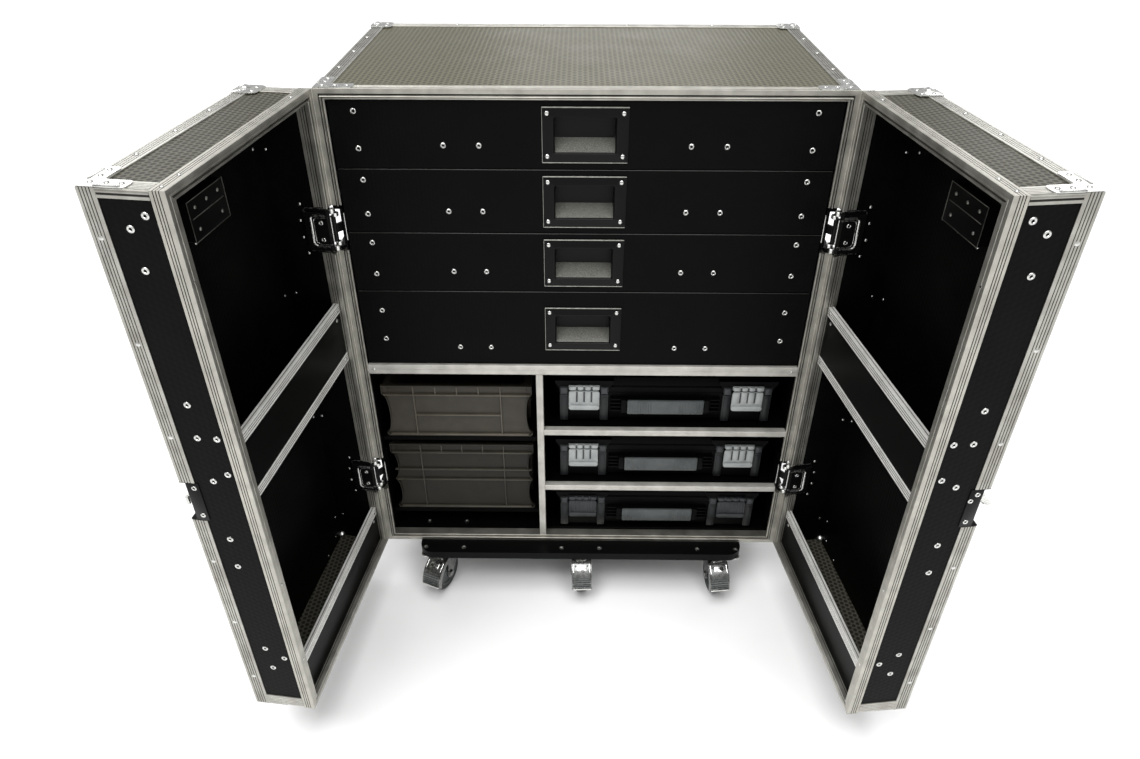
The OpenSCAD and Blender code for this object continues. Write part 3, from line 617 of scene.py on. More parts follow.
def bodyExtrusions():
    # angles on every outer edge, and the ring with the tongue, notched at the hinges on both sides
    w, d, h = caseSize["width"], caseSize["depth"], caseSize["height"]
    shift = (-w / 2, 0, 0)
    cage, dark = angleCage(w, d, h, closureReach)
    makePiece("bodyAngles", shifted([(finish["extrusion"], cage), (finish["grooveShade"], dark)], shift), "cabinet",
              stands=["body_edging"])
    gaps = hingeGaps()
    skip = {"left": gaps, "right": gaps}
    ring = frameBars(closureOutline("tongue"), w, h, skip)
    dark = [b for strip in closureShade("tongue") for b in frameBars(strip, w, h, skip)]
    makePiece("bodyClosure", shifted([(finish["closure"], ring), (finish["grooveShade"], dark)], shift), "cabinet",
              stands=["body_closure_frame"])


latchNotch = (534.5, 622.5)     # the levels between which the latch pan breaks a door's free edge
stopBead = {"out": 0.9, "down": 0.4, "deep": 5, "gap": 0.5, "bevel": 0.2}


def doorExtrusions(side):
    # as on the body, with a groove for the tongue on all sides but the free one
    w, d, h = caseSize["doorWidth"], caseSize["doorDepth"], caseSize["height"]
    cage, dark = angleCage(w, d, h, closureReach, {"right": [latchNotch]}, True)
    makePiece(side + "DoorAngles", [(finish["extrusion"], cage), (finish["grooveShade"], dark)], side + "_door",
              doorFrame(side), [side + "_door_edging"])
    skip = {"left": hingeGaps()}
    ring = frameBars(lambda which: closureOutline("plain" if which == "right" else "groove"), w, h, skip)
    dark = [b for strip in closureShade("plain") for b in frameBars(strip, w, h, skip)]
    # the groove's floor, in painted shade: the bars come as left, right, bottom and top, and the right one has no
    # groove
    slotFloor = frameBars(closureShade("groove")[-1], w, h)
    dark += slotFloor[:1] + slotFloor[2:]
    # a thin stop bead closes the sight line between the open door and the body
    ends = [0] + [z for gap in hingeGaps() for z in gap] + [h]
    gap = stopBead["gap"]
    for low, high in zip(ends[::2], ends[1::2]):
        ring.append(softBox((-stopBead["out"], -stopBead["down"], low + gap), (0.1, stopBead["deep"], high - gap),
                            stopBead["bevel"]))
    makePiece(side + "DoorClosure", [(finish["closure"], ring), (finish["grooveShade"], dark)], side + "_door",
              doorFrame(side), [side + "_door_closure_frame"])


bodyExtrusions()
for side in ("left", "right"):
    doorExtrusions(side)
print("extrusions made")


# ---- boards keep their CAD shapes ----

boardFinish = {"top_panel": "topBoardPaintedLight", "side_panels": "doorBoard", "base_panel": "innerBoard",
               "back_panel": "doorBoard", "bay_boards": "innerBoard"}
for side in ("left", "right"):
    boardFinish[side + "_door_front"] = "doorBoard"
    boardFinish[side + "_door_sides"] = "doorBoard"
    boardFinish[side + "_door_shelves"] = "shelfBoard"
for n in (1, 2, 3, 4):
    boardFinish[f"drawer_{n}_box"] = "drawerBoard"


def paintNode(name, material):
    # the CAD node keeps its shape and gets one material in place of its own
    mesh = frame["nodes"][name].data
    mesh.materials.clear()
    mesh.materials.append(material)


for name, key in boardFinish.items():
    paintNode(name, finish[key])
paintNode("drawer_runners", finish["zinc"])
paintNode("body_hinge_leaves", finish["zinc"])
for name in frame["nodes"]:
    if name.endswith(("_hinge_leaves", "_corners", "castor_plates", "latch_wing")):
        paintNode(name, finish["zinc"])
    if name.endswith(("_dishes", "_pull")):
        paintNode(name, finish["blackSteel"])
    if name.endswith(("_trims", "_lip_trims")):
        paintNode(name, finish["extrusion"])
    if name.startswith("tool_case"):
        paintNode(name, finish["latchPlastic"] if name.endswith("latches") else finish["casePlastic"])
    if name.endswith("_fork"):
        paintNode(name, finish["castorSteel"])
    if name.endswith("_wheel"):
        paintNode(name, finish["tyre"])
paintNode("castor_board", finish["shelfBoard"])
paintNode("upper_bin", finish["upperBin"])
paintNode("lower_bin", finish["lowerBin"])
print("boards painted")

# ---- fasteners ----

def riveted(places, size=4.2, way="up"):
    # low domed heads; places are points on the surface that they stand on
    dome = lathe([(0.02, 0), (size, 0), (size, 0.4), (size * 0.86, 1.1), (size * 0.6, 1.7), (size * 0.3, 2.0),
                  (0.02, 2.1)], 16)
    return [moved(dome, place, facing[way]) for place in places]


def sleeveNuts(places, way="up", size=6.0):
    # ring-shaped nuts, open in the middle: a closed profile turned about its axis
    profile = [(size * 0.4, 0), (size, 0), (size, 0.6), (size * 0.9, 1.4), (size * 0.72, 1.8), (size * 0.52, 1.5),
               (size * 0.4, 0.6)]
    ring = lathe(profile, 18, True)
    return [moved(ring, place, facing[way]) for place in places]


# ---- square channels over the shelf edges ----

trimSizes = {"reach": 17, "wall": 2, "edge": 1.4, "groove": 0.5}


def channelOutline(height):
    # (inwards, across): a U over the board's edge with a rounded nose and two fine lines on its face
    r, t, n = trimSizes["edge"], trimSizes["wall"], trimSizes["reach"]
    arc = np.linspace(0, math.pi / 2, 4)
    nose = [(0.8 + r - r * math.cos(a), r - r * math.sin(a)) for a in arc[::-1]]
    nose += [(0.8, height * 0.38), (0.8 + trimSizes["groove"], height * 0.42),
             (0.8 + trimSizes["groove"], height * 0.47), (0.8, height * 0.51)]
    nose += [(0.8 + r - r * math.cos(a), height - r + r * math.sin(a)) for a in arc]
    return np.array(nose + [(n, height), (n, height - t), (0.8 + t, height - t), (0.8 + t, t), (n, t), (n, 0)])


shelfLevels = (175, 348)
dividerSpan = (-105, -89)


def bayTrims():
    # channels over the deck's front edge, the two shelves' and the divider's, with a rivet at each deck end
    box = [np.array(c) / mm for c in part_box("bay_trims")]
    deckTop = box[1][2] - caseSize["ground"]
    half = box[1][0]
    foot = box[0][2] - caseSize["ground"]
    bars = [bar(channelOutline(24), (-half, 0, deckTop - 24), (half, 0, deckTop - 24), (0, 1, 0), (0, 0, 1))]
    left, right = dividerSpan
    for z in shelfLevels:
        bars.append(bar(channelOutline(15), (right + 0.2, 0, z), (half, 0, z), (0, 1, 0), (0, 0, 1)))
    bars.append(bar(channelOutline(right - left), (left, 0, foot), (left, 0, deckTop - 24.2), (0, 1, 0),
                    (1, 0, 0)))
    dots = riveted([(-half + 12, 0.9, deckTop - 12), (half - 12, 0.9, deckTop - 12)], 3.2, "front")
    makePiece("bayTrims", [(finish["brightTrim"], bars), (finish["zinc"], dots)], "cabinet",
              stands=["bay_trims"])


lipSizes = {"front": 14.6, "back": 26.3, "tall": 20, "wall": 1.1, "grooves": [5, 10, 15], "grooveWidth": 2.2,
            "grooveDepth": 0.5}


def grooved(start, end, face, places, inward):
    # points along a face from start to end, dipping inward by the groove depth at each place
    half, cut = lipSizes["grooveWidth"] / 2, lipSizes["grooveDepth"] * inward
    way = 1 if end > start else -1
    line = [(face, start)]
    for s in sorted(places, reverse=way < 0):
        line += [(face, s - half * way), (face + cut, s - half * 0.6 * way), (face + cut, s + half * 0.6 * way),
                 (face, s + half * way)]
    return line + [(face, end)]


def lipBars(ends, top, capped):
    # an aluminium channel over a lip's top edge, or a plain strip on its face, and the painted shade on its groove
    # floors
    f, b, t = lipSizes["front"], lipSizes["back"], lipSizes["wall"]
    low = top - lipSizes["tall"]
    places = [top - g for g in lipSizes["grooves"]]
    face = grooved(low, top - 0.8, f, places, 1) + [(f + 0.3, top - 0.2), (f + 0.9, top)]
    dark = [rectangle(f + 0.3, s - 0.7, f + 0.8, s + 0.7) for s in places]
    if capped:
        mid = (f + b) / 2
        level = [(z, v) for v, z in grooved(f + 1.2, b - 0.9, top, [mid], -1)]
        outline = face + level + [(b, top - 0.8), (b, low), (b - t, low), (b - t, top - t), (f + t, top - t),
                                  (f + t, low)]
        dark.append(rectangle(mid - 0.7, top - 0.8, mid + 0.7, top - 0.3))
    else:
        outline = face + [(f + t + 0.2, top), (f + t + 0.2, low)]
    along = (ends[0], 0, 0), (ends[1], 0, 0), (0, 1, 0), (0, 0, 1)
    return [bar(np.array(outline), *along)], [bar(strip, *along) for strip in dark]


lipLevels = {"middleFoot": 587, "bottom": 123.3}


def doorLips(side):
    # caps over the middle and bottom lips, a plain strip at the middle lip's foot, and rivets at their ends
    box = np.array(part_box(side + "_door_lip_trims")) / mm
    topCap = box[1][2] - caseSize["ground"]
    ends = (13.4, caseSize["doorWidth"] - 13.4)
    bars, dark, dots = [], [], []
    for top, capped in ((topCap, True), (lipLevels["middleFoot"], False), (lipLevels["bottom"], True)):
        made, shade = lipBars(ends, top, capped)
        bars, dark = bars + made, dark + shade
        for u in (ends[0] + 14, ends[1] - 14):
            dots += riveted([(u, lipSizes["front"], top - 10)], 3.2, "front")
            dots += riveted([(u + (6 if u < 200 else -6), 16, top - 30)] if capped else [], 4.0, "front")
    # the lip caps use the paler aluminium, painted light
    makePiece(side + "DoorLips", [(finish["lipTrimPaintedLight"], bars), (finish["grooveShade"], dark), (finish["zinc"], dots)],
              side + "_door", doorFrame(side), [side + "_door_lip_trims"])


# ---- corner fittings ----

cornerSizes = {"ball": 50, "ballRadius": 15, "ballInset": 10, "brace": 74, "leg": 28, "sheet": 1.5,
               "inset": 1.5, "tip": 7, "fillet": 8}


def braceOutline():
    # an L in the corner at (0, 0): each arc is its centre plus radius x (+-sin a or cos a) both ways
    size, leg, low = cornerSizes["brace"], cornerSizes["leg"], cornerSizes["inset"]
    r, f = cornerSizes["tip"], cornerSizes["fillet"]
    outline = [(low, low)]
    for x, y, radius, sines, wayX, wayY in (
            (size - r, low + r, r, True, 1, -1), (size - r, leg - r, r, False, 1, 1),
            (leg + f, leg + f, f, True, -1, -1), (leg - r, size - r, r, False, 1, 1),
            (low + r, size - r, r, True, -1, 1)):
        for a in np.linspace(0, math.pi / 2, 5):
            across, up = (math.sin(a), math.cos(a)) if sines else (math.cos(a), math.sin(a))
            outline.append((x + wayX * radius * across, y + wayY * radius * up))
    return np.array(outline)


def braceShapes():
    # a flat plate, a pressed bead along both legs, and its rivets
    s, t = cornerSizes["brace"], cornerSizes["sheet"]
    shapes = [bar(braceOutline(), (0, 0, 0.02), (0, 0, t), (1, 0, 0), (0, 1, 0))]
    bead = softSlab(s - 34, 5, 1.2, 2.4, 1.0, 4)
    shapes.append(moved(bead, (s / 2 + 9, 5.5, t - 0.2)))
    shapes.append(moved(bead, (5.5, s / 2 + 9, t - 0.2), turnTo((0, 1, 0), (-1, 0, 0), (0, 0, 1))))
    shapes += riveted([(16, 16, t), (40, 16, t), (62, 16, t), (16, 40, t), (16, 62, t)])
    return joined(shapes)


def ballShapes():
    # three rounded plates on the faces that meet at (0, 0, 0), with a ball over the corner
    s, t = cornerSizes["ball"], cornerSizes["sheet"]
    plate = ringLoft([(s / 2, s / 2, 9, 0), (s / 2, s / 2, 9, t - 0.4), (s / 2 - 0.5, s / 2 - 0.5, 9, t)])
    rivets = riveted([(-10, 12, t), (12, -10, t), (13, 13, t)], 4)
    face = joined([plate] + rivets)
    shapes = [moved(face, (s / 2 - t, s / 2 - t, 0), np.diag([1, 1, -1]))]
    shapes.append(moved(face, (0, s / 2 - t, s / 2 - t), turnTo((0, 1, 0), (0, 0, 1), (-1, 0, 0))))
    shapes.append(moved(face, (s / 2 - t, 0, s / 2 - t), turnTo((0, 0, 1), (1, 0, 0), (0, -1, 0))))
    angle = np.linspace(-math.pi / 2, math.pi / 2, 13)
    r, inset = cornerSizes["ballRadius"], cornerSizes["ballInset"]
    profile = np.stack([np.maximum(r * np.cos(angle), 0.02), r * np.sin(angle)], 1)
    shapes.append(moved(lathe(profile, 24), (inset, inset, inset)))
    return joined(shapes)


def mirrored(shape, x=1, y=1, z=1):
    # each coordinate times its factor, 1 or -1
    return moved(shape, (0, 0, 0), np.diag([x, y, z]))


# rivets stand on the flanges' middles, this far from an edge, in rows at these distances and levels
flangeMid = 15
bodyRows = {"topSides": (150, 280, 410), "topBack": (-300, -100, 100, 300),
            "backLines": (-400, -200, 0, 200, 400), "posts": (200, 390, 575, 760, 950),
            "sideLines": (120, 230, 340, 450), "closure": (100, 380, 480, 600, 700, 1030)}
doorRows = {"top": (150, 260, 370), "frontLines": (110, 200, 300, 400),
            "frontPosts": (120, 260, 400, 680, 820, 960, 1060), "hingeSide": (120, 300, 480, 660, 840, 1020),
            "freeSide": (90, 260, 430, 720, 900, 1075), "closure": (154, 375, 1010)}


def bodyCorners():
    # balls on the back corners, braces on the front ones, and rivets along the extrusions
    w, d, h = caseSize["width"], caseSize["depth"], caseSize["height"]
    m, rows = flangeMid, bodyRows
    shapes = []
    for x in (-1, 1):
        for z in (0, 1):
            shapes.append(moved(mirrored(ballShapes(), -x, -1, 1 - 2 * z), (x * w / 2, d, z * h)))
            shapes.append(moved(mirrored(braceShapes(), -x, 1, 2 * z - 1), (x * w / 2, 0, z * h)))
    shapes += riveted([(x * (w / 2 - m), y, h) for x in (-1, 1) for y in rows["topSides"]])
    shapes += riveted([(x, d - m, h) for x in rows["topBack"]])
    shapes += riveted([(x, d, z) for x in rows["backLines"] for z in (m, h - m)], way="back")
    shapes += riveted([(x * (w / 2 - m), d, z) for x in (-1, 1) for z in rows["posts"]], way="back")
    for x, way in ((-1, "left"), (1, "right")):
        shapes += riveted([(x * w / 2, y, z) for z in (m, h - m) for y in rows["sideLines"]], way=way)
        shapes += riveted([(x * w / 2, d - m, z) for z in rows["posts"]], way=way)
        shapes += riveted([(x * w / 2, 13, z) for z in rows["closure"]], 3.6, way)
    makePiece("bodyCorners", [(finish["zinc"], shapes)], "cabinet", stands=["body_corners"])


freeSideNuts = [(68, 1091), (66, 1027), (40, 1112), (69, 790), (70, 723), (36, 724), (66, 630), (36, 648),
                (70, 492), (72, 422), (71, 186), (67, 126), (36, 161)]
tailPlaces = {
    "hingeWall": [(60, 928), (65, 893), (65, 857), (60, 822), (60, 279), (65, 244), (65, 208), (60, 173),
                  (107, 1036), (107, 726), (107, 401), (107, 86)],
    "frontPanel": [(31, 1042), (31, 729), (24, 406), (24, 86), (43, 36), (99, 24), (460, 760), (463, 330)],
    "roundPull": [(-88, 50), (-88, 3), (-88, -47), (-32, -47), (32, -47), (88, -47), (88, 3), (88, 50)],
}


def doorTails(side):
    # rivet tails on the inner faces: hinge side wall, front panel, and round the pull's pan
    w, d = caseSize["doorWidth"], caseSize["doorDepth"]
    wall, deep = 11, d - 11
    shapes = riveted([(wall, v, z) for v, z in tailPlaces["hingeWall"]], 3.4, "right")
    shapes += riveted([(u, deep, z) for u, z in tailPlaces["frontPanel"]], 3.4, "front")
    shapes += riveted([(w / 2 + u, deep, pullHeight() + z) for u, z in tailPlaces["roundPull"]], 3.6, "front")
    return shapes


def pullHeight():
    # the door pull's middle: its flange is 108 high and is the top of the dishes node
    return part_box("left_door_dishes")[1][2] / mm - caseSize["ground"] - 54


def doorCorners(side):
    # balls on the hinge side's outer corners, braces on the free side's, rivets, nuts and rivet tails
    w, d, h = caseSize["doorWidth"], caseSize["doorDepth"], caseSize["height"]
    m, rows = flangeMid, doorRows
    shapes = []
    for z in (0, 1):
        shapes.append(moved(mirrored(ballShapes(), 1, -1, 1 - 2 * z), (0, d, z * h)))
        shapes.append(moved(mirrored(braceShapes(), -1, -1, 2 * z - 1), (w, d, z * h)))
    shapes += riveted([(x, 12, h) for x in (w - m, w - 60, 60)], 3.4)
    shapes += riveted([(x, d - m, h) for x in rows["top"]])
    shapes += riveted([(x, d, z) for x in rows["frontLines"] for z in (m, h - m)], way="back")
    shapes += riveted([(x, d, z) for x in (m, w - m) for z in rows["frontPosts"] if x > m or z != 400], way="back")
    shapes += riveted([(0, d - m, z) for z in rows["hingeSide"]], way="left")
    # these two rows are sunk, so that the doors shut on each other and on the body
    shapes += riveted([(w - 1.5, d - m, z) for z in rows["freeSide"]], 4.6, "right")
    shapes += riveted([(w - 10, 1.5, z) for z in rows["closure"]], way="front")
    shapes += sleeveNuts([(w - 2, y, z) for y, z in freeSideNuts], "right")
    shapes += doorTails(side)
    makePiece(side + "DoorCorners", [(finish["zinc"], shapes)], side + "_door",
              doorFrame(side), [side + "_door_corners"])


# ---- hinges ----

hingeSizes = {"panBack": 18, "frame": (40, 66), "bend": 9, "beadRadius": 3.0, "ring": 7.5, "bore": 4.0,
              "rod": 2.4, "rodHalf": 26.5, "pan": 92}


def hingeTrim(isDoor):
    # on the pan's back: a bent bead in a U, a centre plate with two rivets, and the ringed knuckles
    back = hingeSizes["panBack"]
    deep, tall = hingeSizes["frame"]
    t = np.linspace(0, math.pi / 2, 8)
    r, pan, rod, end = (hingeSizes[key] for key in ("bend", "pan", "rod", "rodHalf"))
    upper = [(back - 1, 8, tall / 2)] + [(back - 1, deep - r + r * math.sin(a), tall / 2 - r + r * math.cos(a))
                                         for a in t]
    path = np.array(upper + [(x, y, -z) for x, y, z in upper[::-1]])
    zinc, black = [], []
    if isDoor:
        zinc.append(tube(path, hingeSizes["beadRadius"], 10))
        inner = path - [0, 5.5, 0]
        inner[:, 2] *= 0.86
        zinc.append(tube(inner, 1.3, 8))
        for z in (-18, 18):
            zinc += sleeveNuts([(back, 19, z)], "right", 4.6)
        rim = np.array([(11.6, 3, -46), (11.6, 50, -46), (11.6, 54, -42), (11.6, 54, 42), (11.6, 50, 46),
                        (11.6, 3, 46)], float)
        zinc.append(tube(rim, 1.2, 8))
        black.append(moved(softSlab(52, pan, 1.2, 5, 0.5), (11, 27, 0), facing["right"]))
        knots = [(-44, -35), (35, 44)]
        zinc.append(moved(lathe([(0.02, -end), (rod, -end), (rod, end), (0.02, end)], 14), (6, 3.5, 0)))
    else:
        zinc.append(moved(softSlab(6, 60, 2.4, 2.5, 0.8), (back, 9.5, 0), facing["right"]))
        black.append(moved(softSlab(42, pan, 1.2, 5, 0.5), (11, 33, 0), facing["right"]))
        knots = [(-34.5, -27), (27, 34.5)]
    ring, hole = hingeSizes["ring"], hingeSizes["bore"]
    for low, high in knots:
        zinc.append(moved(lathe([(hole, low), (ring - 0.8, low), (ring, low + 0.8), (ring, high - 0.8),
                                 (ring - 0.8, high), (hole, high)], 24, True), (4, -0.5, 0)))
    return zinc, black


def hinges():
    # the same trim at both hinge levels, on each door and mirrored on the body's two sides
    for body, place, isDoor in (("cabinet", None, False), ("left_door", doorFrame("left"), True),
                                ("right_door", doorFrame("right"), True)):
        zinc, black = hingeTrim(isDoor)
        half = caseSize["width"] / 2
        ways = [((0, 0, 0), None)] if isDoor else [((-half, 0, 0), None), ((half, 0, 0), np.diag([-1, 1, 1]))]
        layers = {key: [moved(moved(shape, (0, 0, z)), *way) for z in hingePlaces["z"] for shape in shapes
                        for way in ways] for key, shapes in (("zinc", zinc), ("blackSteel", black))}
        makePiece(body + "HingeTrim", [(finish[k], v) for k, v in layers.items()], body, place)
    for name in frame["nodes"]:
        if name.endswith("_hinge_leaves"):
            paintNode(name, finish["blackSteel"])


# ---- recessed pulls ----

pullSizes = {"flange": (166, 108), "opening": (116, 68), "depth": 36, "rivets": (144, 82)}


def pullPan(depth):
    # a pan whose flange stands on level 0: back, outer walls, flange, bead, inner walls, floor
    a, b = pullSizes["flange"][0] / 2, pullSizes["flange"][1] / 2
    c, e = pullSizes["opening"][0] / 2, pullSizes["opening"][1] / 2
    return ringLoft([
        (c + 1.5, e + 1.5, 4, -depth), (c + 1.5, e + 1.5, 4, 0), (a - 0.5, b - 0.5, 3, 0), (a, b, 3.5, 0.5),
        (a, b, 3.5, 1.1), (a - 1.4, b - 1.4, 3, 2.0), (c + 7, e + 6, 6, 2.0), (c + 5, e + 4, 5, 3.4),
        (c + 2, e + 1.5, 4, 3.4), (c, e, 3, 1.8), (c - 0.4, e - 0.4, 3, -depth + 1.5),
    ], 6)


def pullFloor(depth):
    # the pan's floor slopes up towards its back, so that it throws light out; its pale grey is a painted highlight
    # on the black steel
    e = pullSizes["opening"][1] / 2
    half = pullSizes["opening"][0] / 2 - 0.5
    wedge = [(-e + 0.6, -1), (-e + 19, -depth + 2), (-e + 0.6, -depth + 2)]
    return bar(wedge, (-half, 0, 0), (half, 0, 0), (0, 1, 0), (0, 0, 1))


def pull(depth):
    # the pan, its floor painted pale as a highlight, painted highlights along its flange's edges, and four rivets
    across, up = pullSizes["rivets"][0] / 2, pullSizes["rivets"][1] / 2
    a, b = pullSizes["flange"][0] / 2 - 1.2, pullSizes["flange"][1] / 2
    places = [(x * across, y * up, 2.0) for x in (-1, 1) for y in (-1, 1)]
    # pale strips along the flange's top, bottom and left edges: painted highlights
    paintedHighlight = boxes(((-a, b - 2.6, 1.5), (a, b - 0.2, 3.0), 0.7), ((-a, -b + 0.3, 1.4), (a, -b + 1.9, 2.4), 0.5),
                   ((-a, -b + 1, 1.4), (-a + 1.0, b - 1, 2.3), 0.4))
    return {"blackSteel": [pullPan(depth)], "panHighlight": [pullFloor(depth)], "rivetSteelAndEdgeHighlight": paintedHighlight,
            "zinc": riveted(places, 4.6)}


# ---- door dishes, latch and its keeper ----

latchSizes = {"z": (535, 622), "width": 52, "depth": 14, "wingFromEdge": 24, "axisZ": 578.5, "keyLift": 6.8}
doorPullDepth = 28


def doorDishes(side):
    # the pull in the front panel, the latch pan in the free edge, and the keeper or the key's round plate
    w, d = caseSize["doorWidth"], caseSize["doorDepth"]
    low, high = latchSizes["z"]
    face = d - caseSize["wall"]
    mid = pullHeight()
    layers = {key: [moved(s, (w / 2, face, mid), facing["back"]) for s in shapes]
              for key, shapes in pull(doorPullDepth).items()}
    black, zinc = layers["blackSteel"], layers["zinc"]
    # the pan's back as seen inside the door: folded edges and a seam across it, painted pale as highlights on the
    # black steel, and its spring's rivets
    a, b = pullSizes["opening"][0] / 2 + 1.5, pullSizes["opening"][1] / 2 + 1.5
    back = face - doorPullDepth
    edges = ((-a, a, -b, -b + 1.3), (-a, a, b - 1.3, b), (-a, -a + 1.3, -b, b), (a - 1.3, a, -b, b),
             (-a + 8, a - 8, 3, 4.4))
    spring = ((-38, 20), (38, 20), (-38, -18), (38, -18), (0, 20))
    layers["rivetSteelAndEdgeHighlight"] += boxes(*[((w / 2 + x0, back - 0.9, mid + z0), (w / 2 + x1, back + 0.6, mid + z1), 0.4)
                                   for x0, x1, z0, z1 in edges])
    layers["rivetSteelAndEdgeHighlight"] += riveted([(w / 2 + x, back, mid + z) for x, z in spring], 3.4, "front")
    floor = d - latchSizes["depth"]
    left = w - latchSizes["width"]
    black += boxes(((left, floor, low), (w - 2, floor + 1.8, high), 0.5),
                   ((left - 6, face, low - 7), (w - 31, face + 1.4, low + 2), 0.6),
                   ((left - 6, face, high - 2), (w - 31, face + 1.4, high + 7), 0.6),
                   ((left - 6, face, low), (left + 2, face + 1.4, high), 0.6),
                   ((left, floor, low), (left + 1.6, face, high), 0.4),
                   ((left, floor, low), (w - 1, d - 0.6, low + 1.8), 0.5),
                   ((left, floor, high - 1.8), (w - 1, d - 0.6, high), 0.5),
                   ((w - 2, d - 36, low + 0.6), (w - 0.4, floor + 1.8, high - 0.6), 0.4))
    nuts = [(w - 1.2, d - 26, z) for z in ((low + 12,) if side == "right" else (low + 12, high - 12))]
    if side == "right":
        nuts += [(w - 1.2, d - 22, high - 12), (w - 1.2, d - 31, high - 26)]
    zinc += sleeveNuts(nuts, "right", 5)
    if side == "left":
        zinc += boxes(((w - 26, floor + 1.8, 564), (w - 6, d - 6, 593), 2.0),
                      ((w - 12, d - 8, 570), (w - 1, d - 2, 587), 1.2))
    else:
        zinc.append(moved(lathe([(0.02, 0), (17, 0), (17, 2), (15.5, 4), (12, 5), (0.02, 5)], 32),
                          (w - latchSizes["wingFromEdge"], floor + 1.8, latchSizes["axisZ"]), facing["back"]))
    makePiece(side + "DoorDishes", [(finish[key], shapes) for key, shapes in layers.items()], side + "_door",
              doorFrame(side), [side + "_door_dishes"])


def latchWing():
    # a folded butterfly: two lobes joined at a waist, standing out of a turned hub
    w, d = caseSize["doorWidth"], caseSize["doorDepth"]
    base = d - latchSizes["depth"] + latchSizes["keyLift"]
    t = np.linspace(0, math.pi, 15)
    right = [(8.5 + 8.5 * math.sin(a), 14 - 9 * math.cos(a)) for a in t]
    outline = np.array([(4, 0), (5, 4)] + right + [(3, 19), (-3, 19)] + [(-x, y) for x, y in right[::-1]]
                       + [(-5, 4), (-4, 0)])
    plate = bar(outline, (0, 1.3, 3.5), (0, -1.3, 3.5), (1, 0, 0), (0, 0, 1))
    hub = lathe([(0.02, 0), (11, 0), (11.5, 0.6), (11.5, 2.4), (9, 4.2), (5, 5), (0.02, 5.2)], 32)
    turn = facing["back"]
    shapes = [moved(s, (w - latchSizes["wingFromEdge"], base, latchSizes["axisZ"]), turn) for s in (plate, hub)]
    makePiece("latchWingKey", [(finish["zinc"], shapes)], "latch_wing",
              doorFrame("right"), ["latch_wing"])


# ---- drawers ----

# (across, up) of the sleeve nuts on a drawer's right half; the deep drawer's inner two stand lower
drawerNuts = [(432, 43.5), (432, -27.5), (270, -21), (202, -21)]
deepNuts = drawerNuts[:2] + [(270, -48), (202, -48)]


def drawerFronts():
    # a pull in the middle of each front, four nuts on either side, and a painted highlight along the top edge
    for n in (1, 2, 3, 4):
        body = f"drawer_{n}"
        box = [np.array(c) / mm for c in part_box(body + "_box")]
        low, high = box[0][2] - caseSize["ground"], box[1][2] - caseSize["ground"]
        face = box[0][1] - caseSize["front"]
        mid = (low + high) / 2
        layers = {key: [moved(s, (0, face, mid), facing["front"]) for s in shapes]
                  for key, shapes in pull(pullSizes["depth"]).items()}
        places = [(x * a, face, mid + b) for x in (-1, 1) for a, b in (drawerNuts if n < 4 else deepNuts)]
        layers["zinc"] += sleeveNuts(places, "front", 5.8)
        # the pale strip along the front's top edge is a painted highlight
        layers["boardEdgeHighlight"] = boxes(((box[0][0] + 1, face - 0.3, high - 1.3),
                                     (box[1][0] - 1, face + 1.2, high), 0.4))
        makePiece(f"drawer{n}Pull", [(finish[key], shapes) for key, shapes in layers.items()], body,
                  None, [body + "_pull"])


# ---- bins ----

binSizes = {"width": 356, "depth": 400, "scallop": 14, "foot": 10, "rim": 27, "rib": 3, "sunk": 7,
            "border": 2.6}


def binEdge(z, height, cells):
    # half width at height z: full at the foot and rim, drawn in by a round scallop in each cell
    top = height - binSizes["rim"] * 0.9
    foot = binSizes["foot"]
    t = ((z - foot) / ((top - foot) / cells)) % 1.0
    inside = (z > foot) & (z < top)
    shape = np.sqrt(np.clip(1 - (2 * t - 1) ** 2, 0, 1)) ** 0.9
    return binSizes["width"] / 2 - binSizes["scallop"] * shape * inside


def binOutline(height, cells, inset):
    # up the right edge, then down the left
    z = np.concatenate([np.linspace(0, 8, 4), np.linspace(10.5, height - binSizes["rim"] * 0.9 - 0.5, 30 * cells),
                        [height - binSizes["rim"] * 0.85, height]])
    half = binEdge(z, height, cells) - inset
    half[:4] -= np.array([6, 2.5, 0.8, 0])
    z = inset + z * (height - 2 * inset) / height
    return np.concatenate([np.stack([half, z], 1), np.stack([-half[::-1], z[::-1]], 1)])


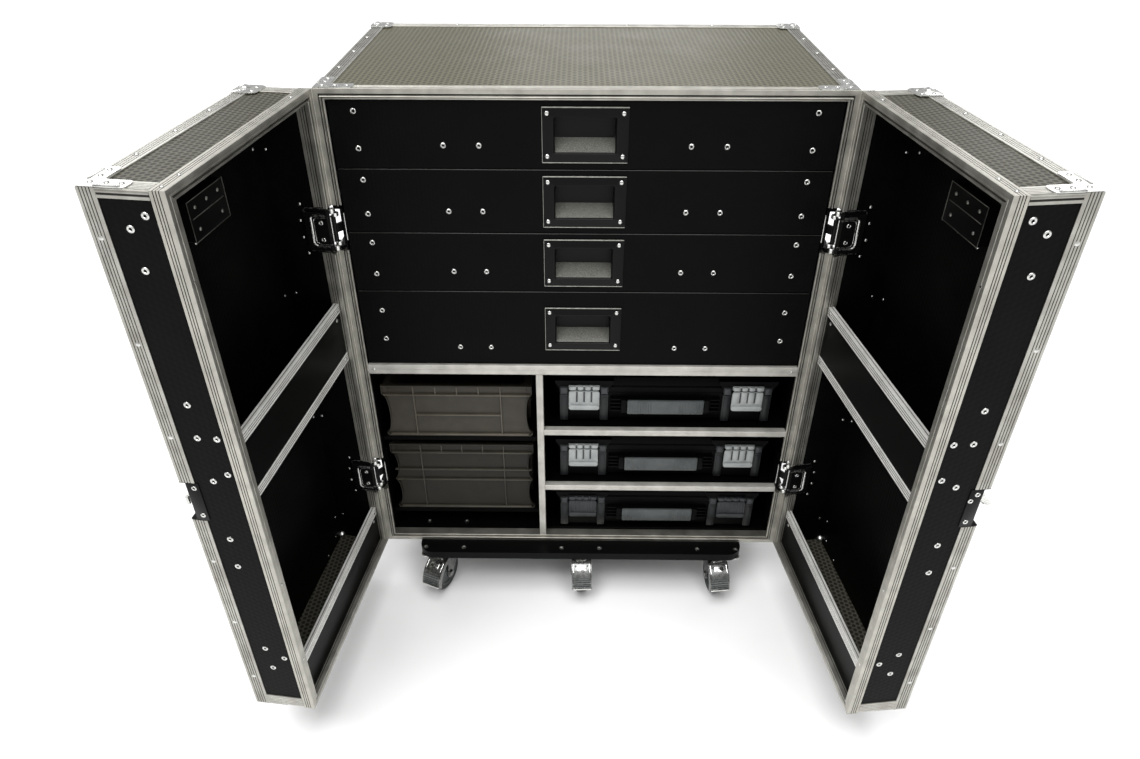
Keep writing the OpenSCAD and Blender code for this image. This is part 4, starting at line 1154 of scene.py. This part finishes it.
def storageBin(name, node, height, cells, material, ribHighlightMaterial, ribLevels):
    # two scalloped ends with ribs in a paler plastic, a painted highlight, and a tub between them; the rib levels
    # are (level, half length)
    box = [np.array(c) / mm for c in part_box(node)]
    x0 = (box[0][0] + box[1][0]) / 2
    y0 = box[0][1] - caseSize["front"]
    z0 = box[0][2] - caseSize["ground"]
    depth, sunk, rib = binSizes["depth"], binSizes["sunk"], binSizes["rib"]
    outer, inner = binOutline(height, cells, 0), binOutline(height, cells, binSizes["border"])
    shapes, proud = [], []
    # each end: a border standing proud round a sunken panel
    for way in (1, -1):
        rings = [np.column_stack([inner[:, 0], np.full(len(inner), sunk + 3), inner[:, 1]])]
        for flat, y in ((outer, sunk + 3), (outer, 0.8), (binOutline(height, cells, 0.7), 0), (inner, 0),
                        (inner, sunk)):
            rings.append(np.column_stack([flat[:, 0], np.full(len(flat), y), flat[:, 1]]))
        shape = skinRings(np.array(rings))
        shape = (shape[0], [f[::-1] for f in shape[1]])
        band, half, deep = height - binSizes["rim"], binSizes["width"] / 2, sunk + 1
        ribs = boxes(*[((x - rib / 2, 1, 2), (x + rib / 2, deep, height - 3), 0.7) for x in (-103, 103)],
                     ((-half + 3, 0.6, band - 2), (half - 3, deep, band + 1.4), 0.7),
                     *[((x - 1.6, 2, band), (x + 1.6, deep, height - 3), 0.6) for x in (-51, 0, 51)],
                     *[((-reach, 1, level - 1.6), (reach, deep, level + 1.6), 0.7) for level, reach in ribLevels],
                     ((-half + 9, 0, 0.4), (half - 9, deep, 5.5), 1.6))
        if way < 0:
            shape, *ribs = [moved(s, (0, depth, 0), np.diag([1, -1, 1])) for s in [shape] + ribs]
        shapes.append(shape)
        proud += ribs
    # the tub: outer walls up, over the rolled rim and down inside
    a, b = binSizes["width"] / 2 - 16, depth / 2 - sunk - 2
    tub = ringLoft([(a - 8, b - 6, 12, 0.5), (a - 6, b - 3, 14, 3), (a, b, 14, height - 22),
                    (a + 12, b + 3, 14, height - 20), (a + 13, b + 4, 14, height - 3), (a + 11, b + 3, 14, height),
                    (a - 2.5, b - 2.5, 12, height), (a - 3, b - 3, 12, height - 4),
                    (a - 10, b - 9, 12, 4)], 6)
    shapes.append(moved(tub, (0, depth / 2, 0)))
    shapes += boxes(*[((x * (a + 4) - 5, y - 1.6, 12), (x * (a + 4) + 5, y + 1.6, height - 21), 0.7)
                      for y in np.linspace(60, depth - 60, 5) for x in (-1, 1)])
    layers = shifted([(material, shapes), (ribHighlightMaterial, proud)], (x0, y0, z0))
    makePiece(name, layers, node, None, [node])


# ---- tool cases ----

toolSizes = {"width": 515, "depth": 400, "seam": 86, "height": 123, "latchAt": 190, "latchWidth": 72,
             "handle": (179, 37, 75), "fingers": ((-35, -19), (-15, -2), (2, 15), (19, 35)),
             "slots": (-17, 0, 17)}


def caseShell(n, place):
    # base and lid, feet, latch surrounds, handle and its lugs, and the fixed upper part of each latch
    s = toolSizes
    half, deep = s["width"] / 2, s["depth"] / 2
    base = ringLoft([(half - 22, deep - 14, 16, 5), (half - 16, deep - 10, 18, 8), (half - 10, deep - 8, 18, 20),
                     (half - 8, deep - 8, 18, s["seam"] - 14), (half - 4, deep - 5, 20, s["seam"] - 12),
                     (half - 4, deep - 5, 20, s["seam"] - 0.8), (half - 5, deep - 6, 20, s["seam"])], 7)
    lid = ringLoft([(half - 1, deep - 5, 20, s["seam"] + 0.8), (half, deep - 4, 20, s["seam"] + 1.6),
                    (half, deep - 4, 20, s["seam"] + 14), (half - 5, deep - 8, 18, s["seam"] + 17),
                    (half - 7, deep - 10, 18, s["height"] - 8), (half - 12, deep - 14, 16, s["height"] - 1),
                    (half - 16, deep - 18, 14, s["height"])], 7)
    shapes = [moved(base, (0, deep, 0)), moved(lid, (0, deep, 0))]
    seam, top = s["seam"], s["height"]
    shapes += boxes(*[((x - 14, 40, top - 1.5), (x + 14, s["depth"] - 40, top - 0.2), 0.6)
                      for x in (-130, -65, 0, 65, 130)])
    flare = [(-68, 121), (-67, 114), (-60, 104), (-58, 100), (58, 100), (60, 104), (67, 114), (68, 121)]
    ribs, lugs, hinge, shade = [], [], [], []
    for x in (-1, 1):
        mid = x * s["latchAt"]
        shapes += boxes(*[((x * 170 - 12, y - 10, 0), (x * 170 + 12, y + 10, 7), 1.0)
                          for y in (50, s["depth"] - 50)],
                        ((mid - 38, 3, 8), (mid + 38, 12, seam - 2), 1.4))
        shapes.append(bar(flare, (mid, 14, 0), (mid, -0.5, 0), (1, 0, 0), (0, 0, 1)))
        fin, post = min(x * 88, x * 128), min(x * 90, x * 104)
        shapes += boxes(*[((fin, -6, z - 1.6), (fin + 40, 10, z + 1.6), 0.8) for z in (40, 50.5, 61, 71.5)],
                        ((post, -13, 38), (post + 14, 10, 74), 2.0))
        for a in (mid - 47, mid + 47):
            ribs += boxes(((a - 10, -0.6, 7), (a + 10, 12, seam - 3), 1.6),
                          ((a - 6, -2.2, 9), (a + 6, 2, seam - 10), 1.0),
                          ((a - 10, -2.5, seam + 2), (a + 10, 10, seam + 19), 1.8))
            lugs += boxes(((a - 7.5, -5, seam + 4), (a + 7.5, 0, seam + 18), 1.6),
                          ((a - 8.5, -4.4, seam + 0.5), (a + 8.5, -1, seam + 4.6), 0.9))
        # the part of each latch above its pin belongs to the lid, so that the flap can turn
        half = s["latchWidth"] / 2
        hinge += boxes(((mid - half, -5.4, 98.8), (mid + half, 2, 109), 1.2),
                       *[((mid + a, -8.6, 99), (mid + b, -3, 109), 1.6) for a, b in s["fingers"]])
        shade += boxes(((mid - 35, -0.6, 95.8), (mid + 35, 2, 99), 0.4),
                       *[((mid + a - 1.7, -5.9, 99.4), (mid + a + 1.7, -4.6, 107), 0.4) for a in s["slots"]])
    w, low, high = s["handle"]
    grip = [softBox((-w / 2, -16, low), (w / 2, -9, high), 2.6, 4)]
    grip += boxes(*[((a - 1.2, -17, low + 1.5), (a + 1.2, -10, high - 1.5), 0.8)
                    for x in (-1, 1) for a in x * (w / 2 - 6 - np.arange(9) * 6.2)])
    node = f"tool_case_{n}"
    layers = [(finish["casePlastic"], shapes), (finish["caseRib"], ribs), (finish["darkLatch"], lugs),
              (finish["handlePlastic"], grip), (finish["latchPlastic" if n < 3 else "darkLatch"], hinge),
              (finish["latchShade"], shade)]
    makePiece(f"toolCase{n}", shifted(layers, place), node, None, [node])


def caseLatches(n, place):
    # the plate, its thicker lower lip, and four fingers with dark slots between them
    w, silver = toolSizes["latchWidth"], n < 3
    shapes, shade = [], []
    for x in (-1, 1):
        mid = x * toolSizes["latchAt"]
        plate = softSlab(w, 52, 4, 8, 1.2, 6)
        shapes.append(moved(plate, (mid, -1.4, 69), facing["front"]))
        shapes.append(moved(softSlab(w, 13, 4.5, 5.5, 1.6, 6), (mid, -4.6, 49.5), facing["front"]))
        if silver:
            shapes += boxes(*[((mid + a, -7.4, 62), (mid + b, -4.6, 94.6), 1.0) for a, b in toolSizes["fingers"]])
            shade += boxes(*[((mid + a - 1.7, -5.9, 64), (mid + a + 1.7, -4.6, 94), 0.4)
                             for a in toolSizes["slots"]])
        else:
            shapes += boxes(*[((mid + a - 1.7, -7.0, 58), (mid + a + 1.7, -4.6, 94), 0.8)
                              for a in -33 + np.arange(11) * 6.6])
    node = f"tool_case_{n}_latches"
    layers = [(finish["latchPlastic" if silver else "darkLatch"], shapes), (finish["latchShade"], shade)]
    makePiece(f"toolCase{n}Latches", shifted([layer for layer in layers if layer[1]], place), node,
              None, [node])


# ---- castors ----

castorSizes = {"wheel": 100, "tread": 32, "trail": 31, "gap": 38, "cheek": 3.2, "board": 21, "plate": 9.3,
               "turns": (-24, 3, 7, 12, -8, 18), "pedal": 60, "pedalFrom": (-1, 88)}


def castorFrame(n):
    # turned about the swivel axis; z from the floor, and the wheel trails towards -y
    pivot = jointNamed(f"castor_{n}_swivel")["pos_m"]
    turn = math.radians(castorSizes["turns"][n - 1])
    c, s = math.cos(turn), math.sin(turn)
    return np.array([[c, -s, 0], [s, c, 0], [0, 0, 1]]), np.array([pivot[0] / mm, pivot[1] / mm, 0])


def castorFork(n):
    # swivel head, crown, two cheeks with their axle and bolts, and the brake pedal
    top = caseSize["ground"] - castorSizes["board"] - castorSizes["plate"]
    trail, gap, axle = castorSizes["trail"], castorSizes["gap"] / 2, castorSizes["wheel"] / 2
    steel = [lathe([(0.02, top - 13), (21, top - 13), (26, top - 8), (27, top - 4), (24, top - 1.5), (20, top),
                    (0.02, top)], 32)]
    steel.append(softBox((-gap - 3.4, -34, top - 15), (gap + 3.4, 22, top - 11), 1.2, 6))
    t = np.linspace(math.pi, 2 * math.pi, 9)
    foot = [(-trail + 13 * math.cos(a), axle + 13 * math.sin(a)) for a in t]
    outline = [(-34, top - 11), (-38, top - 24)] + foot + [(14, top - 34), (22, top - 11)]
    for x in (-1, 1):
        start, end = sorted((x * gap, x * (gap + castorSizes["cheek"])))
        steel.append(bar(outline, (start, 0, 0), (end, 0, 0), (0, 1, 0), (0, 0, 1)))
        bolt = lathe([(0.02, 0), (9, 0), (9, 3.4), (8, 4.4), (0.02, 4.4)], 6)
        steel.append(moved(bolt, (x * (gap + 3), -trail, axle), facing["right" if x > 0 else "left"]))
    steel.append(moved(lathe([(0.02, -gap - 2), (5.9, -gap - 2), (5.9, gap + 2), (0.02, gap + 2)], 20),
                       (0, -trail, axle), facing["right"]))
    # pedal: a pressing curved about the axle, axle + r (-sin a, cos a), with a plate, a window and a tread
    r = castorSizes["pedal"]
    start, end = (math.radians(a) for a in castorSizes["pedalFrom"])
    a = np.linspace(start, end, 12)
    arcOut, arcIn = (np.stack([-trail - k * np.sin(a), axle + k * np.cos(a)], 1) for k in (r + 3, r))
    steel.append(bar(np.concatenate([arcOut, arcIn[::-1]]), (-24, 0, 0), (24, 0, 0), (0, 1, 0), (0, 0, 1)))
    for x in (-1, 1):
        low, high = sorted((x * 22, x * 25.5))
        side = np.concatenate([arcOut, (arcIn + [8, -9])[::-1]])
        steel.append(bar(side, (low, 0, 0), (high, 0, 0), (0, 1, 0), (0, 0, 1)))

    def onPedal(shape, along, across=0):
        # the shape's level 0 on the pedal's face, at a fraction along its arc
        b = start + (end - start) * along
        mid = (-trail - (r + 2.8) * math.sin(b), axle + (r + 2.8) * math.cos(b))
        return moved(moved(shape, (across, 0, 0)), (0, mid[0], mid[1]),
                     turnTo((1, 0, 0), (0, -math.cos(b), -math.sin(b)), (0, -math.sin(b), math.cos(b))))

    # the raised plate, window, rim and side strips are painted near white as highlights
    bright = [onPedal(softSlab(26, 9, 2.2, 4, 0.9), 0.16), onPedal(softSlab(24, 15, 1.6, 2, 0.7), 0.4),
              onPedal(softSlab(49, 4.5, 3.4, 2, 1.2), 0.97)]
    bright += [onPedal(softSlab(3, 24, 2.2, 1.4, 0.8), 0.4, x * 21) for x in (-1, 1)]
    dark = [onPedal(softSlab(44, 2.6, 2.4, 1.2, 0.7), 0.66 + 0.06 * k) for k in range(5)]
    dark += [onPedal(softSlab(4, 5, 1.4, 1.8, 0.5), 0.34, x * 15.5) for x in (-1, 1)]
    node = f"castor_{n}_fork"
    makePiece(f"castor{n}Fork", [(finish["castorSteel"], steel), (finish["handlePlastic"], dark),
                                 (finish["pedalHighlight"], bright)], node, castorFrame(n), [node])


def castorWheel(n):
    # a tread and a hub, each a closed profile turned about the axle
    r, half, trail = castorSizes["wheel"] / 2, castorSizes["tread"] / 2, castorSizes["trail"]
    tread = [(36, -half + 1), (r - 6, -half), (r - 2.5, -half + 1.6), (r - 0.4, -half + 5), (r, -half + 9),
             (r, half - 9), (r - 0.4, half - 5), (r - 2.5, half - 1.6), (r - 6, half), (36, half - 1)]
    hub = [(6.1, -half - 1.6), (13, -half - 1.6), (14.5, -half + 1), (20, -half + 5), (31, -half + 5),
           (33, -half + 1.4), (37, -half + 1.2), (37, half - 1.2), (33, half - 1.4), (31, half - 5),
           (20, half - 5), (14.5, half - 1), (13, half + 1.6), (6.1, half + 1.6)]
    layers = []
    for material, profile in ((finish["tyre"], tread), (finish["handlePlastic"], hub)):
        layers.append((material, [moved(lathe(profile, 48, True), (0, -trail, r), facing["right"])]))
    node = f"castor_{n}_wheel"
    makePiece(f"castor{n}Wheel", layers, node, castorFrame(n), [node])


bayTrims()
bodyCorners()
hinges()
for side in ("left", "right"):
    doorCorners(side)
    doorDishes(side)
    doorLips(side)
latchWing()
drawerFronts()
print("hardware made")
storageBin("upperBin", "upper_bin", 148, 1, finish["upperBin"], finish["upperBinRibHighlight"], [(62, 103)])
storageBin("lowerBin", "lower_bin", 210, 2, finish["lowerBin"], finish["lowerBinRibHighlight"],
           [(95, 172), (128, 172)])
caseSetBack = 16            # a case's shell starts this far behind its handle
for n in (1, 2, 3):
    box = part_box(f"tool_case_{n}")
    place = ((box[0][0] + box[1][0]) / 2 / mm, box[0][1] / mm - caseSize["front"] + caseSetBack,
             box[0][2] / mm - caseSize["ground"])
    caseShell(n, place)
    caseLatches(n, place)
for n in range(1, 7):
    castorFork(n)
    castorWheel(n)
print("bins, cases and castors made")

# ---- stage ----

camera = {"x": -12.4, "inFront": 1533.1, "aboveUnderside": 1566.7, "down": 34.578, "turn": 0.6245,
          "roll": -0.075, "lens": 26.066, "sensor": 36, "clipEnd": 50}
eye = bpy.data.cameras.new("camera")
eye.lens = camera["lens"]
eye.sensor_width = camera["sensor"]
eye.clip_end = camera["clipEnd"]
eyeObject = bpy.data.objects.new("camera", eye)
bpy.context.scene.collection.objects.link(eyeObject)
eyeObject.location = (camera["x"] * mm, (caseSize["front"] - camera["inFront"]) * mm,
                      (caseSize["ground"] + camera["aboveUnderside"]) * mm)
eyeObject.rotation_euler = (math.radians(90 - camera["down"]), math.radians(camera["roll"]),
                            math.radians(camera["turn"]))
bpy.context.scene.camera = eyeObject

lights = [
    # name, place, aim, size, watts
    ("keyLight", (-1.2, -2.0, 3.6), (0, 0, 0.6), (1.6, 1.2), 38),
    ("fillLight", (1.4, -2.2, 3.2), (0, 0, 0.5), (1.4, 1.4), 27),
    ("backCard", (0.25, 4.4, 2.3), (0, 0, 1.3), (1.6, 1.2), 7),
    ("leftCard", (-2.9, 3.2, 2.9), (-0.7, -0.5, 1.1), (1.4, 1.4), 22),
    ("rightCard", (2.9, 3.2, 2.9), (0.7, -0.5, 1.1), (1.4, 1.4), 22),
]


def aimed(place, aim):
    # the turn that points a lamp's -z axis from its place at the aim
    along = np.array(aim, float) - np.array(place, float)
    drop = math.atan2(math.hypot(along[0], along[1]), -along[2])
    return drop, 0, math.atan2(along[1], along[0]) - math.pi / 2


for name, place, aim, size, watts in lights:
    lamp = bpy.data.lights.new(name, "AREA")
    lamp.shape = "RECTANGLE"
    lamp.size, lamp.size_y = size
    lamp.energy = watts
    lampObject = bpy.data.objects.new(name, lamp)
    bpy.context.scene.collection.objects.link(lampObject)
    lampObject.location = place
    lampObject.rotation_euler = aimed(place, aim)

sky = {"strength": 0.56, "sun": 2.2, "sunAngle": 50, "sunPlace": (-0.3, -0.4, 3.0)}
lamp = bpy.data.lights.new("ceilingGlow", "SUN")
lamp.energy, lamp.angle = sky["sun"], math.radians(sky["sunAngle"])
lampObject = bpy.data.objects.new("ceilingGlow", lamp)
bpy.context.scene.collection.objects.link(lampObject)
lampObject.rotation_euler = aimed(sky["sunPlace"], (0, 0, 0))

world = bpy.data.worlds.new("studio")
bpy.context.scene.world = world
world.use_nodes = True
world.node_tree.nodes["Background"].inputs[0].default_value = hexColor("#ffffff")
world.node_tree.nodes["Background"].inputs[1].default_value = sky["strength"]
bpy.context.scene.view_settings.view_transform = "Standard"

floorMaterial, tree, shader, coords = newMaterial("paleFloor", "#fafafa", 0.7)
mottled(tree, shader, coords, "#fbfbfb", "#f7f7f7", 400)
floorMesh = bpy.data.meshes.new("floor")
reach = 12.0                # metres from the middle to each side of the floor
floorMesh.from_pydata([(-reach, -reach, 0), (reach, -reach, 0), (reach, reach, 0), (-reach, reach, 0)], [],
                      [(0, 1, 2, 3)])
floorMesh.materials.append(floorMaterial)
floor = bpy.data.objects.new("floor", floorMesh)
bpy.context.scene.collection.objects.link(floor)

print("scene ready")
